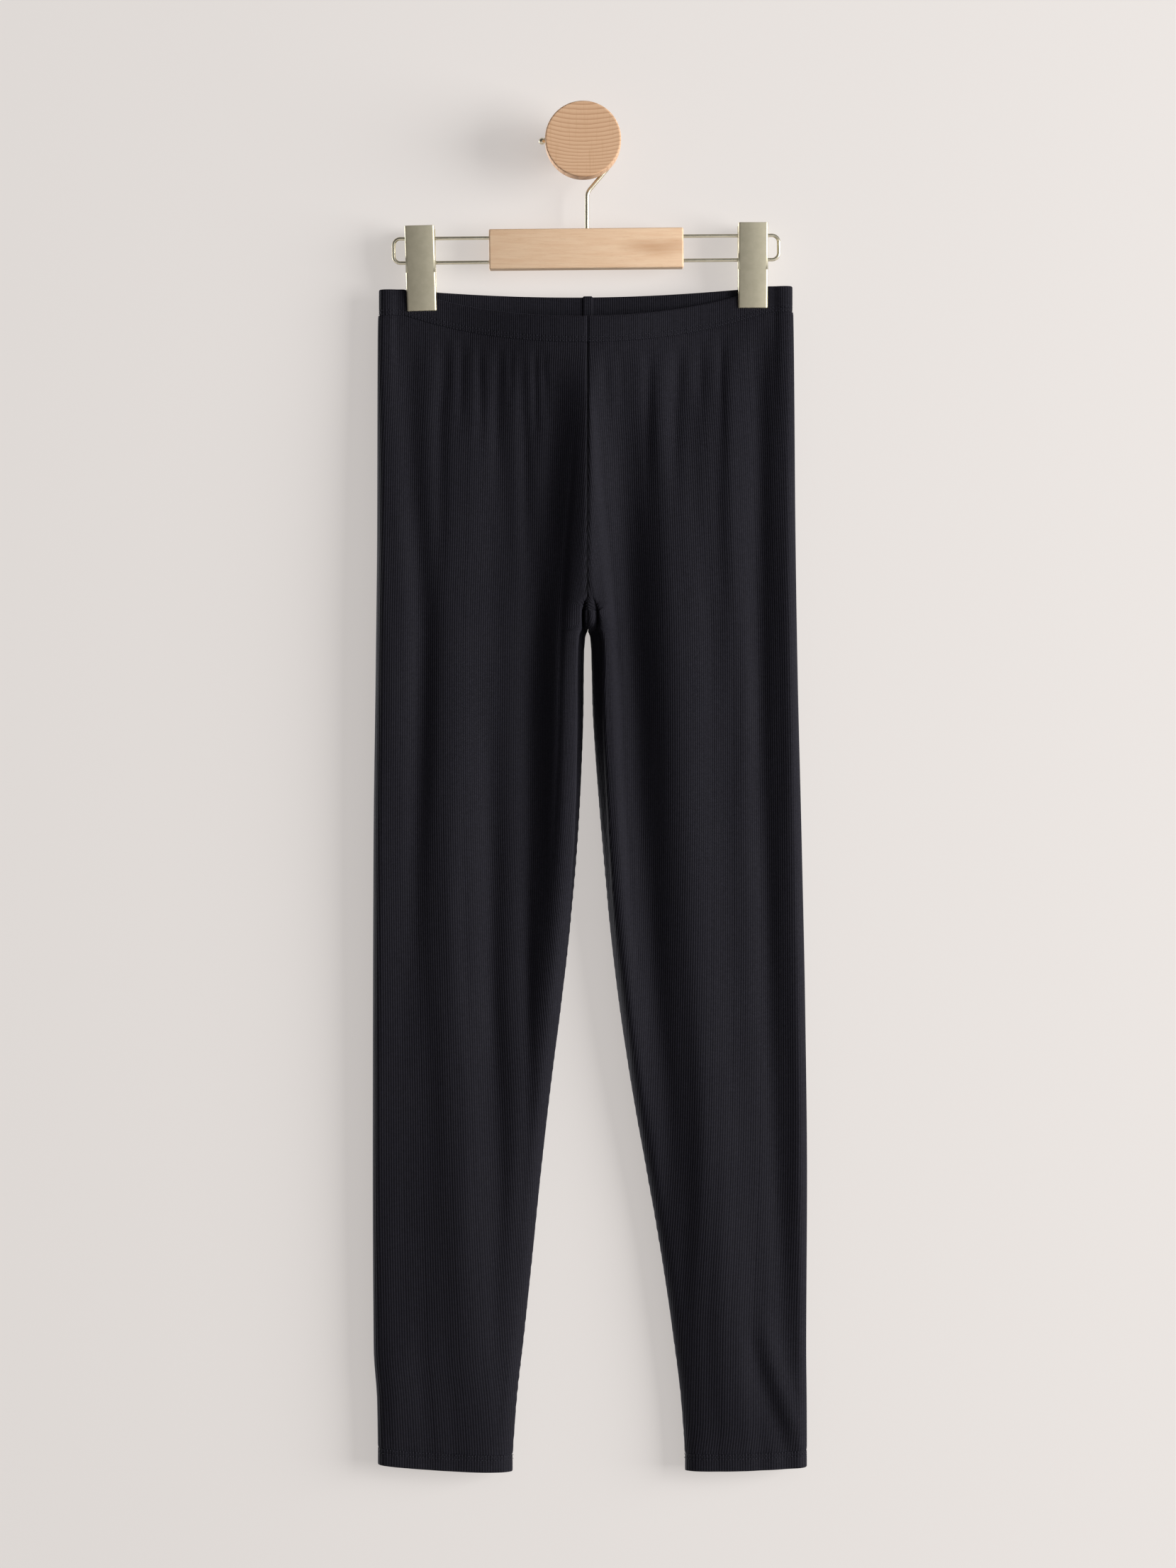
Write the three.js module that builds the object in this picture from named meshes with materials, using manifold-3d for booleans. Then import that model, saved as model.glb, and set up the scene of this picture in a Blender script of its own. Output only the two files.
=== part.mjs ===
// Ribbed jersey leggings, clipped by the waistband in a two-clip hanger that hooks over a turned wall knob.
//
// Millimetres, +Z up. The wall is the plane Y = 0 and everything hangs in front of it, towards -Y.
// The origin is the middle of the knob's flat back. +X is the wearer's left.
// The cloth is cut as two leg panels, each wrapped once round its leg and closed by one inseam, which meet in
// the front and back rise seams, with an elastic casing round the waist and a turned hem at each ankle.

import * as THREE from 'three';
import { mergeVertices } from 'three/addons/utils/BufferGeometryUtils.js';
import Module from 'manifold-3d';

const wasm = await Module();
wasm.setup();

// Driving sizes

const SEAM_GAP = 0.3; // between pieces that are sewn or rest on each other
const LEG_WALL = 1.4; // one layer of rib jersey
const BAND_WALL = 3.0; // two layers with the elastic between them
const HEM_WALL = 2.4; // two layers
const BAND_HEIGHT = 21.5;
const HEM_HEIGHT = 14.5;
const SEAM_X = 3.8; // the rise seam hangs a little to the wearer's left of the knob
const HANG_Y = -20; // the plane of the hanger, from the wall
const HEM_LEAN = 3; // the ankles swing this much nearer to the wall
const WAIST_TOP = -117.2; // the waistband's edge at its middle, without its dips
const WAIST_TILT = 0.0085; // rise per mm of X: the hanger hangs a little crooked
const DIP_HALF_SPAN = 150; // the waist's edge dips between the clips
const FRONT_DIP = 24.6;
const BACK_DIP = 7.2;
const PINCH = BAND_WALL / 2 + SEAM_GAP / 2; // half the distance between the casing's middles in a clip
const BAND_BOW = 12; // the front of the casing bows this far off the back between the clips
const BAND_BOW_HALF_SPAN = 117;
const BAND_FOLD_HALF = 3.2; // half-depth of the casing's folds beyond the clips
const BAND_END_ROUND = 5;
const OUTER_ROUND = 7; // how far in from a leg's outer fold it swells to full depth
const INNER_ROUND = 10;
const CROTCH_TOP = -372; // the rise seam starts to turn under here
const CROTCH_Z = -400; // the lowest point of the rise seam
const INNER_SKEW = 3; // the inner fold of each leg lies this much nearer to the wall
const WAIST_BLEND_TO = -260; // by this level the casing's shape has faded out of the legs
const HEM_BLEND_FROM = -985; // from this level the hem's slope fades in

// The outline from the front: the outer folds at each level
const OUTER_FOLDS = [
  { z: -110, right: -168.0, left: 172.4 },
  { z: -163, right: -169.2, left: 173.6 },
  { z: -310, right: -169.5, left: 174.8 },
  { z: -430, right: -170.7, left: 176.6 },
  { z: -570, right: -172.5, left: 180.0 },
  { z: -710, right: -173.1, left: 183.0 },
  { z: -850, right: -173.3, left: 184.6 },
  { z: -990, right: -172.6, left: 184.0 },
  { z: -1036, right: -169.8, left: 184.4 },
  { z: -1093, right: -169.0, left: 184.6 },
];

// The outline between the legs: the inner folds, from the crotch down
const INNER_FOLDS = [
  { z: CROTCH_Z, right: 3.6, left: 4.0 },
  { z: -402, right: 2.6, left: 5.1 },
  { z: -407, right: 1.6, left: 6.1 },
  { z: -428, right: 0.9, left: 6.8 },
  { z: -464, right: 0.6, left: 7.6 },
  { z: -499, right: -0.4, left: 9.6 },
  { z: -569, right: -3.8, left: 15.0 },
  { z: -639, right: -9.8, left: 21.4 },
  { z: -709, right: -17.9, left: 29.8 },
  { z: -779, right: -26.8, left: 40.4 },
  { z: -849, right: -34.7, left: 52.8 },
  { z: -919, right: -41.8, left: 64.9 },
  { z: -989, right: -49.2, left: 75.0 },
  { z: -1036, right: -54.5, left: 80.6 },
  { z: -1093, right: -58.6, left: 84.4 },
];

// How far the cloth's middle stands off the hanging plane, between its folds
const DEPTHS = [
  { z: -140, front: 5.0, back: 4.0 },
  { z: -200, front: 7.5, back: 6.0 },
  { z: -300, front: 10.0, back: 8.5 },
  { z: -400, front: 11.5, back: 9.5 },
  { z: -520, front: 10.5, back: 8.5 },
  { z: -700, front: 9.0, back: 7.0 },
  { z: -900, front: 8.0, back: 6.0 },
  { z: -1093, front: 6.0, back: 5.0 },
];

// The largest folds: a crest where height is positive and a trough where it is negative
const FRONT_FOLDS = [
  { name: 'right inner crest', width: 9.5, path: [
    { z: -163, x: 1, height: 1 }, { z: -260, x: -3, height: 5 }, { z: -340, x: -6, height: 7.5 },
    { z: -400, x: -11, height: 8.5 }, { z: -450, x: -14, height: 8.5 }, { z: -540, x: -15, height: 7.5 },
    { z: -640, x: -21, height: 5 }, { z: -740, x: -31, height: 2.5 }, { z: -860, x: -44, height: 0 },
  ] },
  { name: 'right crotch trough', width: 9, path: [
    { z: -160, x: -26, height: 0 }, { z: -185, x: -25, height: -1.6 }, { z: -230, x: -25, height: -2 },
    { z: -290, x: -30, height: -2.8 }, { z: -350, x: -35, height: -3.4 },
    { z: -400, x: -38, height: -4.4 }, { z: -480, x: -40, height: -4.6 }, { z: -560, x: -40, height: -4 },
    { z: -640, x: -43, height: -2.4 }, { z: -740, x: -50, height: 0 },
  ] },
  { name: 'right gather', width: 4.5, path: [
    { z: -158, x: -48, height: 0 }, { z: -190, x: -48, height: -1.7 }, { z: -250, x: -48, height: -2 },
    { z: -330, x: -47, height: -1.6 }, { z: -400, x: -46, height: -0.8 },
    { z: -560, x: -46, height: -1.6 }, { z: -680, x: -45, height: -2.4 },
    { z: -770, x: -44, height: -1.2 }, { z: -830, x: -44, height: 0 },
  ] },
  { name: 'right thigh valley', width: 20, path: [
    { z: -190, x: -58, height: 0 }, { z: -240, x: -60, height: -3 }, { z: -300, x: -62, height: -4.6 },
    { z: -400, x: -64, height: -5.6 }, { z: -500, x: -64, height: -5 }, { z: -600, x: -64, height: -3.6 },
    { z: -700, x: -66, height: -1.6 }, { z: -820, x: -68, height: 0 },
  ] },
  { name: 'right thigh trough', width: 7.5, path: [
    { z: -440, x: -78, height: 0 }, { z: -520, x: -76, height: -2 }, { z: -600, x: -75, height: -3.6 },
    { z: -700, x: -75, height: -3.8 }, { z: -780, x: -74, height: -2.4 }, { z: -860, x: -70, height: -1 },
    { z: -940, x: -66, height: 0 },
  ] },
  { name: 'right body crest', width: 14, path: [
    { z: -360, x: -107, height: 0 }, { z: -460, x: -108, height: 2.2 }, { z: -580, x: -108, height: 3.2 },
    { z: -680, x: -107, height: 3.6 }, { z: -780, x: -103, height: 4 }, { z: -880, x: -98, height: 4 },
    { z: -980, x: -92, height: 3 }, { z: -1060, x: -84, height: 1.6 },
  ] },
  { name: 'right shin swell', width: 25, path: [
    { z: -780, x: -112, height: 0 }, { z: -900, x: -112, height: 2.6 },
    { z: -1000, x: -114, height: 2.2 }, { z: -1076, x: -116, height: 0.8 },
  ] },
  { name: 'right clip trough', width: 8, path: [
    { z: -150, x: -143, height: 0 }, { z: -185, x: -143, height: -2.2 }, { z: -260, x: -141, height: -3 },
    { z: -330, x: -135, height: -3.6 }, { z: -400, x: -131, height: -4.6 },
    { z: -470, x: -133, height: -4.2 }, { z: -560, x: -137, height: -3 },
    { z: -680, x: -142, height: -1.4 }, { z: -770, x: -146, height: 0 },
  ] },
  { name: 'left inner crest', width: 9.5, path: [
    { z: -163, x: 5, height: 1 }, { z: -260, x: 6, height: 5 }, { z: -340, x: 7, height: 7.5 },
    { z: -395, x: 12, height: 8.5 }, { z: -450, x: 16, height: 8.5 }, { z: -540, x: 21, height: 7.5 },
    { z: -640, x: 29, height: 6.2 }, { z: -780, x: 46, height: 3.4 }, { z: -880, x: 60, height: 0 },
  ] },
  { name: 'left crotch trough', width: 12, path: [
    { z: -190, x: 37, height: 0 }, { z: -260, x: 37, height: -2.6 }, { z: -320, x: 37, height: -5 },
    { z: -380, x: 38, height: -6.6 }, { z: -460, x: 43, height: -7 }, { z: -540, x: 47, height: -6.2 },
    { z: -620, x: 52, height: -5.2 }, { z: -700, x: 58, height: -3.8 }, { z: -780, x: 66, height: -2.8 },
    { z: -860, x: 74, height: -1.6 }, { z: -950, x: 82, height: 0 },
  ] },
  { name: 'left body crest', width: 18, path: [
    { z: -210, x: 74, height: 0 }, { z: -280, x: 73, height: 2.6 }, { z: -350, x: 75, height: 5 },
    { z: -440, x: 78, height: 6.6 }, { z: -540, x: 82, height: 7.2 }, { z: -640, x: 88, height: 6.8 },
    { z: -760, x: 99, height: 6.6 }, { z: -860, x: 107, height: 6.6 }, { z: -940, x: 114, height: 6.2 },
    { z: -1020, x: 124, height: 5.2 }, { z: -1076, x: 132, height: 2 },
  ] },
  { name: 'left side crest', width: 5.5, path: [
    { z: -160, x: 120, height: 0 }, { z: -195, x: 120, height: 1.4 }, { z: -300, x: 120, height: 1.7 },
    { z: -390, x: 121, height: 1.2 }, { z: -460, x: 122, height: 0 },
  ] },
  { name: 'left outer ridge', width: 5, path: [
    { z: -170, x: 168, height: 0 }, { z: -260, x: 168, height: 0.8 }, { z: -420, x: 169, height: 2 },
    { z: -600, x: 173, height: 2.2 }, { z: -800, x: 178, height: 1.8 }, { z: -960, x: 178, height: 0 },
  ] },
  { name: 'left side trough', width: 7, path: [
    { z: -148, x: 144, height: 0 }, { z: -185, x: 145, height: -3.4 }, { z: -300, x: 145, height: -4.6 },
    { z: -440, x: 147, height: -5 }, { z: -560, x: 149, height: -4.6 }, { z: -680, x: 152, height: -4 },
    { z: -800, x: 157, height: -3 }, { z: -900, x: 162, height: -2.4 }, { z: -980, x: 166, height: -1.4 },
    { z: -1030, x: 168, height: 0 },
  ] },
  { name: 'left ankle crest', width: 6, path: [
    { z: -950, x: 143, height: 0 }, { z: -1000, x: 156, height: 2.6 }, { z: -1044, x: 169, height: 3.2 },
    { z: -1076, x: 179, height: 0 },
  ] },
];

const BACK_FOLDS = [
  { name: 'back rise crest', width: 14, path: [
    { z: -170, x: SEAM_X, height: 0 }, { z: -290, x: SEAM_X, height: 3.5 },
    { z: -420, x: SEAM_X, height: 4 }, { z: -600, x: SEAM_X, height: 0 },
  ] },
  { name: 'back right crest', width: 18, path: [
    { z: -260, x: -84, height: 0 }, { z: -430, x: -86, height: 3 }, { z: -700, x: -92, height: 2.8 },
    { z: -1000, x: -104, height: 0 },
  ] },
  { name: 'back left crest', width: 18, path: [
    { z: -260, x: 92, height: 0 }, { z: -430, x: 94, height: 3.2 }, { z: -700, x: 106, height: 2.6 },
    { z: -1000, x: 128, height: 0 },
  ] },
  { name: 'back right clip trough', width: 7, path: [
    { z: -150, x: -141, height: 0 }, { z: -195, x: -140, height: -3.2 },
    { z: -330, x: -134, height: -2.6 }, { z: -470, x: -130, height: 0 },
  ] },
  { name: 'back left clip trough', width: 7, path: [
    { z: -150, x: 143, height: 0 }, { z: -200, x: 142, height: -3.4 }, { z: -390, x: 138, height: -2.4 },
    { z: -520, x: 136, height: 0 },
  ] },
  { name: 'back right thigh trough', width: 11, path: [
    { z: -260, x: -44, height: 0 }, { z: -400, x: -46, height: -4.4 }, { z: -540, x: -52, height: -3.4 },
    { z: -720, x: -62, height: 0 },
  ] },
  { name: 'back left thigh trough', width: 11, path: [
    { z: -280, x: 50, height: 0 }, { z: -430, x: 50, height: -4.6 }, { z: -600, x: 60, height: -3 },
    { z: -760, x: 74, height: 0 },
  ] },
  { name: 'back right side trough', width: 8, path: [
    { z: -420, x: -138, height: 0 }, { z: -560, x: -140, height: -2.6 }, { z: -860, x: -142, height: 0 },
  ] },
  { name: 'back left side trough', width: 8, path: [
    { z: -380, x: 148, height: 0 }, { z: -600, x: 153, height: -2.8 }, { z: -900, x: 160, height: 0 },
  ] },
  { name: 'back right knee trough', width: 9, path: [
    { z: -640, x: -64, height: 0 }, { z: -760, x: -70, height: -2.2 }, { z: -930, x: -78, height: 0 },
  ] },
];

// The levels of the leg panels' sections, and more that only the cloth by the crotch has
const LEG_LEVELS = [-142, -168, -225, -300, -372, -430, -530, -650, -780, -920, -1076];
const CROTCH_LEVELS = [-386, -395, CROTCH_Z, -407];

// The ribs run straight down from the waist, side by side from each outer fold, and end where they meet a
// seam. Each one here stands for two of the knit's own, which are 1.8 mm apart.
const RIB = { pitch: 3.6, height: 0.5 };
const HALF_RIB = RIB.pitch / 2;
const RIB_COLUMNS = Math.ceil(190 / HALF_RIB); // enough to reach from an outer fold to any inner edge
const PLAIN_STRIDE = 5; // the inside of a wall has one column for this many half ribs
const FOLD_STRIDE = 2; // and, near an outer fold, for this many
const FOLD_REACH = 8; // half ribs from an outer fold
const CROTCH_REACH = 78; // half ribs from an outer fold, past which the cloth is by the crotch
const SECTION_SAMPLES = { ends: 8, middle: 48 }; // for measuring along a section

// The hanger, in its own frame: X along the rods, the origin midway between them
const HANGER_X = 2.6;
const HANGER_Z = -85.2;
const HANGER_TILT = THREE.MathUtils.degToRad(0.53);
const BLOCK = { length: 160, height: 33, thickness: 13, round: 1.2, corner: 1.6 };
const ROD = { radius: 1.5, spread: 20, reach: 160, corner: 5.5, buried: 40, sides: 8 };
const BORE_GAP = 0.4; // round the rods and the shank in the block
const BORE_SIDES = 8;
const CLIP = { width: 24.4, top: 19.2, bottom: -50.1, sheet: 1.2, flange: 2.6, lip: 2.4, ear: 4.6 };
const CLIP_MOUTH = PINCH + BAND_WALL / 2 + SEAM_GAP; // a jaw's inner face from the middle, at its tip
const CLIP_SPREAD = 11.4; // the same at the clip's top
const CLIPS = [
  { name: 'right', x: -136.4, turn: THREE.MathUtils.degToRad(0.97) },
  { name: 'left', x: 137.1, turn: THREE.MathUtils.degToRad(-0.53) },
];
const SPRING = { coil: 2.45, wire: 0.5, turns: 3.5, pitch: 1.7, leg: 9, sides: 4, stepsPerTurn: 6 };

// The hook's wire, in the part's frame: a straight shank, a cranked rise, an arc over the knob's neck, a tip
const HOOK = {
  radius: 1.8, sides: 10, shankX: 3.3, bendZ: -38.6, bendRound: 4, foot: 20,
  arcX: 0.9, arcZ: -5.6, arcRadius: 23.3,
  arcFrom: THREE.MathUtils.degToRad(-38.7), arcTo: THREE.MathUtils.degToRad(115.5), arcSteps: 14,
  tipReach: 27.2, tipBall: 2.9,
};

const KNOB = {
  neck: HOOK.arcZ + HOOK.arcRadius - HOOK.radius - SEAM_GAP - 0.1, neckLength: 36, neckFillet: 2,
  disc: 31, discThickness: 18, edge: 1.2, segments: 40,
};

const CLOTH = { color: 0x25252a, roughness: 0.95, metalness: 0 };
const BEECH = { color: 0xdcb78c, roughness: 0.6, metalness: 0 };
const NICKEL = { color: 0xb8b6a4, roughness: 0.35, metalness: 0.9 };

// Smooth reading of a table between its rows, whose z falls from row to row

function read(table, z, column) {
  const last = table.length - 1;
  if (z >= table[0].z) return table[0][column];
  if (z <= table[last].z) return table[last][column];
  let i = 0;
  while (table[i + 1].z > z) i += 1;
  const slope = (a, b) => (table[b][column] - table[a][column]) / (table[b].z - table[a].z);
  const here = slope(i, i + 1);
  const gentle = (a, b) => (a * b <= 0 ? 0 : 2 * a * b / (a + b));
  const startSlope = i > 0 ? gentle(slope(i - 1, i), here) : here;
  const endSlope = i + 1 < last ? gentle(here, slope(i + 1, i + 2)) : here;
  const span = table[i + 1].z - table[i].z;
  const t = (z - table[i].z) / span;
  const t2 = t * t;
  const t3 = t2 * t;
  return (2 * t3 - 3 * t2 + 1) * table[i][column] + (t3 - 2 * t2 + t) * span * startSlope
    + (3 * t2 - 2 * t3) * table[i + 1][column] + (t3 - t2) * span * endSlope;
}

const clamp01 = (t) => Math.min(1, Math.max(0, t));
const smooth = (t) => clamp01(t) ** 2 * (3 - 2 * clamp01(t));
const mix = (a, b, t) => a + (b - a) * t;

// The swell of a flattened tube near its folded end: 0 at the fold, 1 from `round` inwards
const swell = (distance, round) => Math.sqrt(1 - (1 - clamp01(distance / round)) ** 2);

// The cloth's levels and depths. side is 'front' or 'back', leg is 'right' or 'left'

function waistEdge(x, side) {
  const across = clamp01(Math.abs(x - HANGER_X) / DIP_HALF_SPAN);
  const dip = (side === 'front' ? FRONT_DIP : BACK_DIP) * (1 - across * across);
  return WAIST_TOP + WAIST_TILT * (x - HANGER_X) - dip;
}

function hemEdge(x, leg) {
  const outer = read(OUTER_FOLDS, -1093, leg);
  const inner = read(INNER_FOLDS, -1093, leg);
  const t = clamp01((x - outer) / (inner - outer));
  const sag = 1 - (1 - t) ** 2;
  return leg === 'right' ? -1086 - 6 * sag : -1088 - 3.2 * sag;
}

function foldHeight(folds, x, z) {
  let height = 0;
  for (const fold of folds) {
    const offset = (x - read(fold.path, z, 'x')) / fold.width;
    height += read(fold.path, z, 'height') * Math.exp(-offset * offset / 2);
  }
  return height;
}

// How far the rise seam has turned under at this level: 0 above the crotch, 1 from its lowest point down
const turnedUnder = (z) => clamp01((CROTCH_TOP - z) / (CROTCH_TOP - CROTCH_Z));

function bandDepth(x, side) {
  const off = x - HANGER_X;
  const across = clamp01(Math.abs(off) / BAND_BOW_HALF_SPAN);
  const bow = (side === 'front' ? BAND_BOW : BAND_BOW / 5) * (1 - across * across) ** 2;
  const beyond = smooth((Math.abs(off) - DIP_HALF_SPAN - 4) / 8);
  return PINCH + bow + (BAND_FOLD_HALF - PINCH) * beyond;
}

function bodyDepth(x, z, side) {
  const folds = side === 'front' ? FRONT_FOLDS : BACK_FOLDS;
  return read(DEPTHS, z, side) + foldHeight(folds, x, z);
}

function hangingPlane(z) {
  return HANG_Y + HEM_LEAN * smooth((CROTCH_Z - z) / 600);
}

// A point on the middle of a leg's cloth, at `inset` mm in from the outer fold
function legPoint(leg, side, inset, level, wall) {
  const outward = leg === 'left' ? 1 : -1;
  const outer = read(OUTER_FOLDS, level, leg) - outward * wall / 2;
  const under = turnedUnder(level);
  const inner = under < 1
    ? SEAM_X + outward * SEAM_GAP / 2
    : read(INNER_FOLDS, level, leg) + outward * wall / 2;
  const width = Math.abs(outer - inner);
  const x = outer - outward * inset;
  const toInner = width - inset;
  const atWaist = 1 - smooth((LEG_LEVELS[0] - level) / (LEG_LEVELS[0] - WAIST_BLEND_TO));
  const flush = (BAND_WALL - wall) / 2;
  const round = mix(OUTER_ROUND, BAND_END_ROUND, atWaist);
  const depth = mix(bodyDepth(x, level, side), bandDepth(x, side) + flush, atWaist);
  const innerSwell = Math.sqrt(1 - (under * (1 - clamp01(toInner / INNER_ROUND))) ** 2);
  const off = depth * swell(inset, round) * innerSwell;
  const skew = INNER_SKEW * under * (1 - clamp01(toInner / 25)) ** 2;
  const sign = side === 'front' ? -1 : 1;
  const onSeam = toInner < 1e-6;
  const gap = onSeam && under === 1 ? SEAM_GAP / 2 : 0;
  const y = hangingPlane(level) + skew + sign * (off + gap);
  const waistShift = waistEdge(x, side) - BAND_HEIGHT - SEAM_GAP - LEG_LEVELS[0];
  const hemShift = hemEdge(x, leg) + HEM_HEIGHT + SEAM_GAP - LEG_LEVELS[LEG_LEVELS.length - 1];
  const z = level + waistShift * atWaist + hemShift * smooth((HEM_BLEND_FROM - level) / 85);
  return new THREE.Vector3(x, y, z);
}

function legWidth(leg, level, wall) {
  const outer = read(OUTER_FOLDS, level, leg);
  if (turnedUnder(level) < 1) return Math.abs(outer - SEAM_X) - SEAM_GAP / 2 - wall / 2;
  return Math.abs(outer - read(INNER_FOLDS, level, leg)) - wall;
}

// Distances in from an outer fold to an inner edge, close together where both ends curve
function insets(width) {
  const { ends, middle } = SECTION_SAMPLES;
  const span = width - OUTER_ROUND - INNER_ROUND;
  const curve = Array.from({ length: ends }, (_, k) => 1 - Math.cos(Math.PI / 2 * k / ends));
  return [
    ...curve.map((t) => OUTER_ROUND * t),
    ...Array.from({ length: middle + 1 }, (_, k) => OUTER_ROUND + span * k / middle),
    ...curve.map((t) => width - INNER_ROUND * t).reverse(),
  ];
}

// A run of cloth, and how far along it each of its points lies
function measured(points) {
  const along = [0];
  for (let i = 1; i < points.length; i += 1) {
    along.push(along[i - 1] + points[i].distanceTo(points[i - 1]));
  }
  return { points, along, length: along[along.length - 1] };
}

function pointOn(run, distance) {
  if (distance <= 0) return run.points[0].clone();
  if (distance >= run.length) return run.points[run.points.length - 1].clone();
  let i = 0;
  while (run.along[i + 1] < distance) i += 1;
  const t = (distance - run.along[i]) / (run.along[i + 1] - run.along[i]);
  return run.points[i].clone().lerp(run.points[i + 1], t);
}

// A section is a front and a back run, both measured from the outer fold. Along it, distances are positive
// on the front and negative on the back.
function pointRound(section, distance) {
  return pointOn(distance >= 0 ? section.front : section.back, Math.abs(distance));
}

// One row of columns, a half rib apart, from the front's inner edge round the outer fold to the back's.
// Columns that would pass an edge fall on it. `facing` is 1 where this order turns the cross product with
// the downward direction outwards, and -1 where it doesn't.
function ribRow(sectionAt, level, facing) {
  const [above, here, below] = [sectionAt(level + 4), sectionAt(level), sectionAt(level - 4)];
  const columns = [];
  for (let k = RIB_COLUMNS; k >= -RIB_COLUMNS; k -= 1) {
    const side = k >= 0 ? 'front' : 'back';
    const sign = k >= 0 ? 1 : -1;
    const onEdge = Math.abs(k) * HALF_RIB > here[side].length - HALF_RIB / 3;
    const distance = (section) => (onEdge ? sign * section[side].length : k * HALF_RIB);
    const at = pointRound(here, distance(here));
    const round = pointRound(here, distance(here) - 0.4).sub(pointRound(here, distance(here) + 0.4));
    const down = pointRound(below, distance(below)).sub(pointRound(above, distance(above)));
    const normal = round.cross(down).normalize().multiplyScalar(facing);
    columns.push({ k, side, level, at, normal, onEdge, crest: k % 2 === 0 && !onEdge });
  }
  return columns;
}

// Whether the plain inside of a wall has a column here too
const isPlain = ({ k }) => k % (Math.abs(k) <= FOLD_REACH ? FOLD_STRIDE : PLAIN_STRIDE) === 0;

// The triangles between two chains of vertices that run side by side, as [vertex, vertex, vertex]. Every
// entry of a chain is { at, id }, and both chains start at one `at` and end at another.
function between(left, right) {
  const triangles = [];
  let i = 0;
  let j = 0;
  while (i < left.length - 1 || j < right.length - 1) {
    const leftNext = i < left.length - 1 ? left[i + 1].at : Infinity;
    const rightNext = j < right.length - 1 ? right[j + 1].at : Infinity;
    if (leftNext <= rightNext) {
      triangles.push([left[i].id, right[j].id, left[i + 1].id]);
      i += 1;
    } else {
      triangles.push([left[i].id, right[j].id, right[j + 1].id]);
      j += 1;
    }
  }
  return triangles.filter(([a, b, c]) => a !== b && b !== c && c !== a);
}

// Turns rows of columns, from the top down, into a closed wall with ribs on its outside and a plain inside.
// A row that is `byCrotch` has only its columns there. `settle(point, column)` may put a point of an edge
// back on its seam plane.
function knitWall(rows, wall, facing, ring, settle = () => {}) {
  const positions = [];
  const known = new Map();
  const vertex = (column, lift) => {
    const point = column.at.clone().addScaledVector(column.normal, lift);
    settle(point, column);
    const key = point.toArray().map((v) => v.toFixed(4)).join(' ');
    if (!known.has(key)) {
      known.set(key, positions.length / 3);
      positions.push(point.x, point.y, point.z);
    }
    return known.get(key);
  };
  const outer = (column) => vertex(column, wall / 2 - (column.crest ? 0 : RIB.height));
  const inner = (column) => vertex(column, -wall / 2);
  const count = rows[0].columns.length;
  const last = ring ? count : count - 1;
  const everyColumn = Array.from({ length: last + 1 }, (_, i) => i);
  const isEnd = (i) => i === 0 || i === last;
  const plainColumns = everyColumn.filter((i) => isEnd(i) || isPlain(rows[0].columns[i]));
  const chainDown = (layer, i) => rows
    .map(({ columns, byCrotch }, j) => ({ at: j, column: columns[i % count], byCrotch }))
    .filter(({ column, byCrotch }) => !byCrotch || Math.abs(column.k) >= CROTCH_REACH)
    .map(({ at, column }) => ({ at, id: layer(column) }));
  const chainAcross = (layer, chosen, j) =>
    chosen.map((i) => ({ at: i, id: layer(rows[j].columns[i % count]) }));
  const bottom = rows.length - 1;
  const triangles = [
    ...between(chainAcross(outer, everyColumn, 0), chainAcross(inner, plainColumns, 0)),
    ...between(chainAcross(inner, plainColumns, bottom), chainAcross(outer, everyColumn, bottom)),
  ];
  for (let i = 0; i < last; i += 1) {
    triangles.push(...between(chainDown(outer, i), chainDown(outer, i + 1)));
  }
  for (let n = 0; n < plainColumns.length - 1; n += 1) {
    triangles.push(...between(chainDown(inner, plainColumns[n + 1]), chainDown(inner, plainColumns[n])));
  }
  if (!ring) {
    triangles.push(...between(chainDown(inner, 0), chainDown(outer, 0)));
    triangles.push(...between(chainDown(outer, last), chainDown(inner, last)));
  }
  const geometry = new THREE.BufferGeometry();
  geometry.setAttribute('position', new THREE.Float32BufferAttribute(positions, 3));
  geometry.setIndex(triangles.flatMap(([a, b, c]) => (facing > 0 ? [a, b, c] : [a, c, b])));
  return geometry;
}

// One leg's panel, from the front rise seam round the outer fold to the back rise seam, and from the casing
// to the hem. Below the crotch its two long edges meet each other in the inseam.
function legPanel(leg) {
  const facing = leg === 'right' ? 1 : -1;
  const sectionAt = (level) => {
    const across = insets(legWidth(leg, level, LEG_WALL));
    const run = (side) => measured(across.map((inset) => legPoint(leg, side, inset, level, LEG_WALL)));
    return { front: run('front'), back: run('back') };
  };
  const levels = [...LEG_LEVELS, ...CROTCH_LEVELS].sort((a, b) => b - a);
  const rows = levels.map((level) => ({
    columns: ribRow(sectionAt, level, facing),
    byCrotch: CROTCH_LEVELS.includes(level),
  }));
  const settle = (point, column) => {
    if (!column.onEdge) return;
    if (column.level > CROTCH_Z) point.x = column.at.x;
    else point.y = column.at.y;
  };
  return knitWall(rows, LEG_WALL, facing, false, settle);
}

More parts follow.
